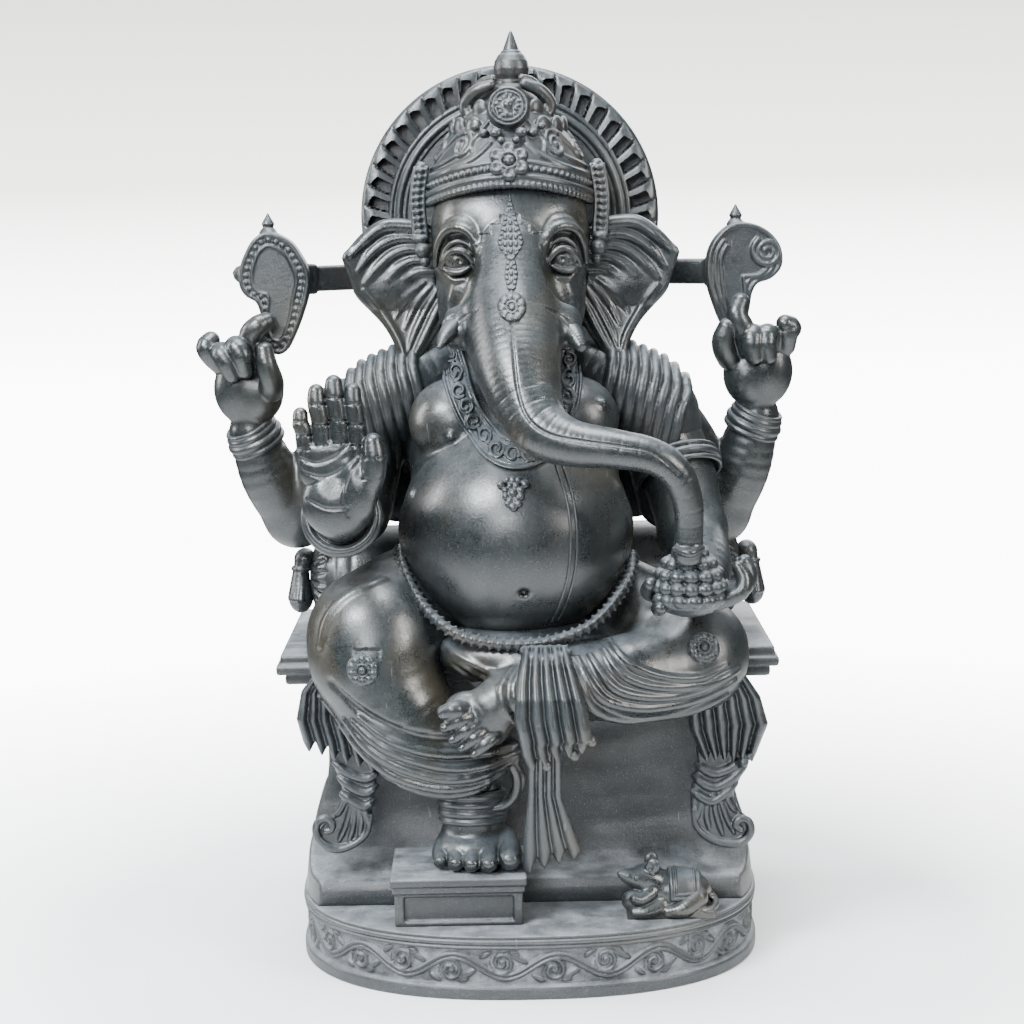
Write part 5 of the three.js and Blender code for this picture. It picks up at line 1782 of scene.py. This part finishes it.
def stone(name, dark, mid, warm, dust, dust_and_top_light_share, shine, grain):
    """Dark carved stone: dust in its hollows, dust and painted top light on upward faces, edges painted
    lighter as wear and painted highlight, painted shade in deep hollows, specks and faint scratches.
    """
    material = bpy.data.materials.new(name)
    n = Nodes(material)
    where = n.new("ShaderNodeTexCoord").outputs["Object"]
    cloud = n.noise(where, 11.0, 5.0, 0.6, 0.4)
    tint = n.noise(where, 7.0, 3.0, 0.5, 0.8)
    patch = n.noise(where, 38.0, 5.0, 0.65)
    fine = n.noise(where, 420.0, 3.0, 0.6)
    speck = n.noise(where, 1500.0, 1.0, 0.5)
    base = n.mix(n.stretch(cloud, 0.34, 0.66), (*dark, 1), (*mid, 1))
    base = n.mix(n.stretch(tint, 0.52, 0.70, 0, 0.8), base, (*warm, 1))
    base = n.mix(n.stretch(fine, 0.40, 0.75, 0.0, 0.30), base, (*[c * 2.2 for c in mid], 1))

    # Dust that settles on upward faces, which is also painted top light: faces turned up are made paler as if
    # lit from above.
    up = n.new("ShaderNodeSeparateXYZ", {0: n.new("ShaderNodeNewGeometry").outputs["Normal"]}).outputs["Z"]
    settled_dust_and_top_light = n.math("MULTIPLY", n.stretch(up, 0.45, 0.98), n.stretch(patch, 0.34, 0.62, 0.25, 0.8))
    fine_hollow = n.stretch(n.mark("hollow_fine"), 0.35, 0.9)
    hollow = n.math("MULTIPLY", fine_hollow, n.stretch(patch, 0.40, 0.62, 0.02, 0.55))
    film = n.stretch(n.noise(where, 75.0, 6.0, 0.7), 0.56, 0.8, 0.0, 0.12)
    dust_and_top_light = n.math("ADD", n.math("MAXIMUM", hollow, settled_dust_and_top_light), film)
    dust_and_top_light = n.math("MULTIPLY", dust_and_top_light, n.stretch(fine, 0.3, 0.6, 0.6, 1.0))
    dust_and_top_light = n.math("MULTIPLY", dust_and_top_light, dust_and_top_light_share, clamp=True)
    # Painted shade: colour darkened down to 0.35 of itself in deep, wide hollows, where shade falls.
    deep = n.stretch(n.mark("painted_shade_hollow"), 0.45, 1.0, 1.0, 0.35)

    streaks = n.new("ShaderNodeMapping", {"Vector": where, "Scale": (260.0, 40.0, 34.0),
                                          "Rotation": (0.3, 0.5, 0.2)})
    other = n.new("ShaderNodeMapping", {"Vector": where, "Scale": (36.0, 40.0, 300.0),
                                        "Rotation": (0.1, 0.9, 0.4)})
    scratch = n.math("MAXIMUM", n.stretch(n.noise(streaks.outputs[0], 1.0, 2.0), 0.72, 0.76),
                     n.stretch(n.noise(other.outputs[0], 1.0, 2.0), 0.73, 0.77))
    # Convex edges painted lighter: partly rubbed wear, partly painted highlight.
    rubbed_and_highlight = n.math("MULTIPLY", n.stretch(n.mark("edge_wear_and_highlight"), 0.35, 1.0),
                    n.stretch(patch, 0.3, 0.65, 0.2, 0.8))
    colour = n.mix(n.math("MULTIPLY", rubbed_and_highlight, 0.45), base, (*[c * 4.0 for c in mid], 1))
    colour = n.mix(dust_and_top_light, colour, (*dust, 1))
    colour = n.mix(n.math("MULTIPLY", scratch, 0.16), colour, (*dust, 1))
    colour = n.mix(n.stretch(speck, 0.68, 0.75, 0.0, 0.4), colour, (*[c * 1.2 for c in dust], 1))
    painted_shade = n.new("ShaderNodeCombineColor", {0: deep, 1: deep, 2: deep}).outputs[0]
    colour = n.mix(1.0, colour, painted_shade, "MULTIPLY")

    rough = n.math("ADD", n.stretch(patch, 0.3, 0.7, shine - 0.06, shine + 0.10),
                   n.math("MULTIPLY", dust_and_top_light, 0.35))
    rough = n.math("ADD", rough, n.stretch(fine, 0.3, 0.7, -0.04, 0.06), clamp=True)
    height = n.math("ADD", n.math("MULTIPLY", fine, 0.5), n.math("MULTIPLY", patch, 0.9))
    height = n.math("SUBTRACT", height, n.math("MULTIPLY", scratch, 0.12))
    bump_node = n.new("ShaderNodeBump", {"Strength": grain, "Distance": 0.0009, "Height": height})
    links = n.tree.links
    links.new(colour, n.shader.inputs["Base Color"])
    links.new(rough, n.shader.inputs["Roughness"])
    links.new(bump_node.outputs[0], n.shader.inputs["Normal"])
    n.shader.inputs["IOR"].default_value = 1.62
    return material


def brushed_steel():
    """Steel of the hidden dowels, drawn along their length."""
    material = bpy.data.materials.new("dowel_steel")
    n = Nodes(material)
    where = n.new("ShaderNodeTexCoord").outputs["Object"]
    lines = n.new("ShaderNodeMapping", {"Vector": where, "Scale": (900.0, 900.0, 60.0)})
    grain = n.noise(lines.outputs[0], 1.0, 3.0)
    colour = n.mix(n.stretch(grain, 0.3, 0.7), (0.32, 0.33, 0.34, 1), (0.55, 0.56, 0.57, 1))
    n.tree.links.new(colour, n.shader.inputs["Base Color"])
    n.tree.links.new(n.stretch(grain, 0.3, 0.7, 0.28, 0.5), n.shader.inputs["Roughness"])
    n.shader.inputs["Metallic"].default_value = 1.0
    return material


DUST = (0.24, 0.27, 0.30)
# Paler dust for the base, made brighter as painted light on the step top, which lies in shadow.
PALE_DUST_AND_TOP_LIGHT = (0.42, 0.45, 0.48)
# The fifth value is the share of dust and painted top light; the base stone gets the most.
MATERIALS = {
    "polished_stone": stone("polished_stone", (0.004, 0.005, 0.006), (0.011, 0.014, 0.014),
                            (0.028, 0.022, 0.012), DUST, 0.36, 0.30, 0.32),
    "carved_stone": stone("carved_stone", (0.005, 0.006, 0.007), (0.014, 0.018, 0.020),
                          (0.026, 0.022, 0.015), DUST, 0.62, 0.35, 0.45),
    "base_stone": stone("base_stone", (0.005, 0.006, 0.007), (0.013, 0.016, 0.018), (0.022, 0.020, 0.015),
                        PALE_DUST_AND_TOP_LIGHT, 0.72, 0.42, 0.55),
    "dowel_steel": brushed_steel(),
}

# ---- pieces --------------------------------------------------------------------------------------
# name of the CAD node each piece stands for: (shape, voxel in mm, slot)
BOTH = ((-1, "right"), (1, "left"))
PIECES = {
    "head": (head, 1.1, "polished_stone"),
    "trunk": (trunk, 1.1, "polished_stone"),
    "torso": (torso, 1.9, "polished_stone"),
    "crown": (crown, 1.1, "carved_stone"),
    "crown_rosette": (crown_rosette, 0.8, "carved_stone"),
    "forehead_ornament": (forehead_ornament, 0.6, "carved_stone"),
    "finial": (finial, 1.0, "carved_stone"),
    "halo": (halo, 1.7, "carved_stone"),
    "halo_ring": (halo_ring, 1.4, "carved_stone"),
    "necklace": (necklace, 1.0, "carved_stone"),
    "pendant": (pendant, 0.8, "carved_stone"),
    "sacred_thread": (sacred_thread, 0.8, "carved_stone"),
    "waist_belt": (waist_belt, 1.2, "carved_stone"),
    "raised_arm": (raised_arm, 1.2, "polished_stone"),
    "wrist_ring": (wrist_ring, 1.0, "carved_stone"),
    "bowl_arm": (bowl_arm, 1.4, "polished_stone"),
    "armlet": (armlet, 1.1, "carved_stone"),
    "sweets_bowl": (sweets_bowl, 0.9, "carved_stone"),
    "hanging_leg": (hanging_leg, 1.6, "polished_stone"),
    "folded_leg": (folded_leg, 1.6, "polished_stone"),
    "anklet": (anklet, 1.0, "carved_stone"),
    "centre_sash": (centre_sash, 1.2, "carved_stone"),
    "bolster": (bolster, 2.2, "polished_stone"),
    "seat_slab": (seat_slab, 2.6, "base_stone"),
    "pedestal": (pedestal, 2.6, "base_stone"),
    "footstool_top": (footstool_top, 1.6, "base_stone"),
    "footstool_body": (footstool_body, 1.6, "base_stone"),
    "mouse": (mouse, 0.9, "polished_stone"),
    "saddle_cloth": (saddle_cloth, 0.7, "carved_stone"),
}
for side, word in BOTH:
    PIECES[f"ear_{word}"] = (lambda s=side: ear(s), 1.2, "polished_stone")
    PIECES[f"tusk_{word}"] = (lambda s=side: tusk(s), 0.8, "polished_stone")
    PIECES[f"bead_string_{word}"] = (lambda s=side: bead_string(s), 0.9, "carved_stone")
    PIECES[f"strut_{word}"] = (lambda s=side: strut(s), 1.6, "carved_stone")
    PIECES[f"rear_arm_{word}"] = (lambda s=side: rear_arm(s), 1.2, "polished_stone")
    PIECES[f"rear_bracelet_{word}"] = (lambda s=side: rear_bracelet(s), 1.0, "carved_stone")
    PIECES[f"emblem_{word}"] = (lambda s=side: emblem(s), 1.1, "carved_stone")
    PIECES[f"knee_rosette_{word}"] = (lambda s=side: knee_rosette(s), 0.7, "carved_stone")
    PIECES[f"side_drape_{word}"] = (lambda s=side: side_drape(s), 1.3, "carved_stone")
    PIECES[f"shoulder_shawl_{word}"] = (lambda s=side: shoulder_shawl(s), 1.4, "carved_stone")
    PIECES[f"bolster_tassel_{word}"] = (lambda s=side: bolster_tassel(s), 1.1, "carved_stone")


def finish_piece(name, mesh_data, slot):
    """Makes a sculpted piece with its material, attaches it to the root body and hides the CAD node it stands
    for.
    """
    piece = to_object(f"{name}_carved", *mesh_data)
    piece.data.materials.append(MATERIALS[slot])
    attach(piece, "root")
    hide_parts(name)


def sculpt(name):
    """Surface of one piece, ready to become a mesh."""
    shape, voxel, _ = PIECES[name]
    return surface(shape(), voxel * COARSE)


with ThreadPoolExecutor(4) as pool:
    sculpted = {name: pool.submit(sculpt, name) for name in PIECES}
    for name, result in sculpted.items():
        finish_piece(name, result.result(), PIECES[name][2])
finish_piece("plinth", plinth(), "base_stone")
for name, node in frame["nodes"].items():
    if name.endswith("_dowel") or "_dowel_" in name:
        node.data.materials.clear()
        node.data.materials.append(MATERIALS["dowel_steel"])


# ---- floor, light, camera ------------------------------------------------------------------------
def floor():
    """Round pale floor that fades out before its far edge can be seen."""
    mesh = bpy.data.meshes.new("studio_floor")
    size, count = 1.6, 96
    angles = [2 * math.pi * i / count for i in range(count)]
    edge = [(size * math.cos(a), size * math.sin(a), 0) for a in angles]
    mesh.from_pydata(edge, [], [tuple(range(count))])
    plane = bpy.data.objects.new("studio_floor", mesh)
    bpy.context.scene.collection.objects.link(plane)
    material = bpy.data.materials.new("pale_floor")
    n = Nodes(material)
    where = n.new("ShaderNodeTexCoord").outputs["Object"]
    colour = n.mix(n.stretch(n.noise(where, 1.5, 4.0), 0.3, 0.7), (0.84, 0.84, 0.85, 1),
                   (0.87, 0.87, 0.87, 1))
    n.tree.links.new(colour, n.shader.inputs["Base Color"])
    reach = n.new("ShaderNodeVectorMath", {0: where}, operation="LENGTH").outputs["Value"]
    n.tree.links.new(n.stretch(reach, 0.45, 1.5, 1.0, 0.0), n.shader.inputs["Alpha"])
    n.shader.inputs["Roughness"].default_value = 0.9
    n.shader.inputs["Specular IOR Level"].default_value = 0.1
    mesh.materials.append(material)


# name: (place in metres, width and height, watts, colour)
LIGHTS = {
    "key": ((-1.6, -2.0, 2.6), (1.3, 1.0), 270, (0.90, 0.96, 1.0)),
    "front": ((-0.7, -3.2, 1.5), (1.2, 0.9), 80, (0.94, 0.97, 1.0)),
    "front_right": ((2.3, -1.7, 1.5), (0.7, 1.4), 80, (1.0, 0.97, 0.92)),
    "top": ((0.0, -0.2, 2.9), (1.5, 1.1), 130, (0.92, 0.97, 1.0)),
    "left": ((-2.4, 0.2, 1.2), (0.5, 1.5), 50, (1.0, 1.0, 1.0)),
    "back": ((0.8, 2.6, 1.9), (2.0, 1.6), 80, (1.0, 1.0, 1.0)),
}
LIGHTS_AIM = (0, 0, 0.45)


def area_light(name, place, size, power, colour):
    """Rectangular soft light that points at the middle of the figure."""
    light = bpy.data.lights.new(name, "AREA")
    light.shape = "RECTANGLE"
    light.size, light.size_y = size
    light.energy = power
    light.color = colour
    holder = bpy.data.objects.new(name, light)
    holder.location = place
    holder.rotation_euler = (Vector(LIGHTS_AIM) - Vector(place)).to_track_quat("-Z", "Y").to_euler()
    bpy.context.scene.collection.objects.link(holder)


def world():
    """Bright sky and dim sides for the stone to reflect; the camera itself sees a pale backdrop."""
    scene_world = bpy.data.worlds.new("studio")
    bpy.context.scene.world = scene_world
    scene_world.use_nodes = True
    tree = scene_world.node_tree

    def ramp(stops):
        node = tree.nodes.new("ShaderNodeValToRGB")
        tree.links.new(height.outputs["Result"], node.inputs["Fac"])
        for place, colour in stops[1:-1]:
            node.color_ramp.elements.new(place)
        for element, (place, colour) in zip(node.color_ramp.elements, stops):
            element.position, element.color = place, (*colour, 1)
        return node.outputs["Color"]

    way = tree.nodes.new("ShaderNodeSeparateXYZ")
    tree.links.new(tree.nodes.new("ShaderNodeTexCoord").outputs["Generated"], way.inputs[0])
    height = tree.nodes.new("ShaderNodeMapRange")
    height.inputs["From Min"].default_value = -1.0
    tree.links.new(way.outputs["Z"], height.inputs["Value"])
    light = tree.nodes["Background"]
    light.inputs["Strength"].default_value = 0.9
    tree.links.new(ramp([(0.0, (0.30, 0.30, 0.31)), (0.49, (0.16, 0.165, 0.17)), (0.58, (0.13, 0.14, 0.15)),
                         (0.80, (0.55, 0.60, 0.66)), (1.0, (0.95, 1.0, 1.0))]), light.inputs["Color"])
    backdrop = tree.nodes.new("ShaderNodeBackground")
    backdrop.inputs["Strength"].default_value = 12.0
    tree.links.new(ramp([(0.0, (0.95, 0.95, 0.95)), (0.46, (0.95, 0.95, 0.95)), (0.50, (0.33, 0.33, 0.32)),
                         (0.56, (0.150, 0.146, 0.142)), (0.62, (0.095, 0.091, 0.087)),
                         (1.0, (0.095, 0.091, 0.087))]), backdrop.inputs["Color"])
    choose = tree.nodes.new("ShaderNodeMixShader")
    tree.links.new(tree.nodes.new("ShaderNodeLightPath").outputs["Is Camera Ray"], choose.inputs["Fac"])
    tree.links.new(light.outputs[0], choose.inputs[1])
    tree.links.new(backdrop.outputs[0], choose.inputs[2])
    tree.links.new(choose.outputs[0], tree.nodes["World Output"].inputs["Surface"])


SENSOR_WIDTH = 36.0                     # millimetres
DISTANCE_IN_PICTURE_WIDTHS = 2330 / 1024  # how far off a thing is when it is as wide as the picture
CAMERA_PLACE = (-0.01045, -2.300, 0.760)
CAMERA_DOWN, CAMERA_ROLL = 8.05, 1.1    # degrees


def camera():
    """Camera at the height and angle that the object is usually seen from."""
    data = bpy.data.cameras.new("photo_angle")
    data.sensor_width = SENSOR_WIDTH
    data.lens = SENSOR_WIDTH * DISTANCE_IN_PICTURE_WIDTHS
    data.clip_end = 200
    holder = bpy.data.objects.new("photo_angle", data)
    holder.location = CAMERA_PLACE
    down, roll = math.radians(CAMERA_DOWN), math.radians(CAMERA_ROLL)
    tilted = Matrix.Rotation(math.radians(90) - down, 3, "X")
    holder.rotation_euler = (tilted @ Matrix.Rotation(-roll, 3, "Z")).to_euler()
    bpy.context.scene.collection.objects.link(holder)
    bpy.context.scene.camera = holder


floor()
world()
for name, row in LIGHTS.items():
    area_light(name, *row)
camera()
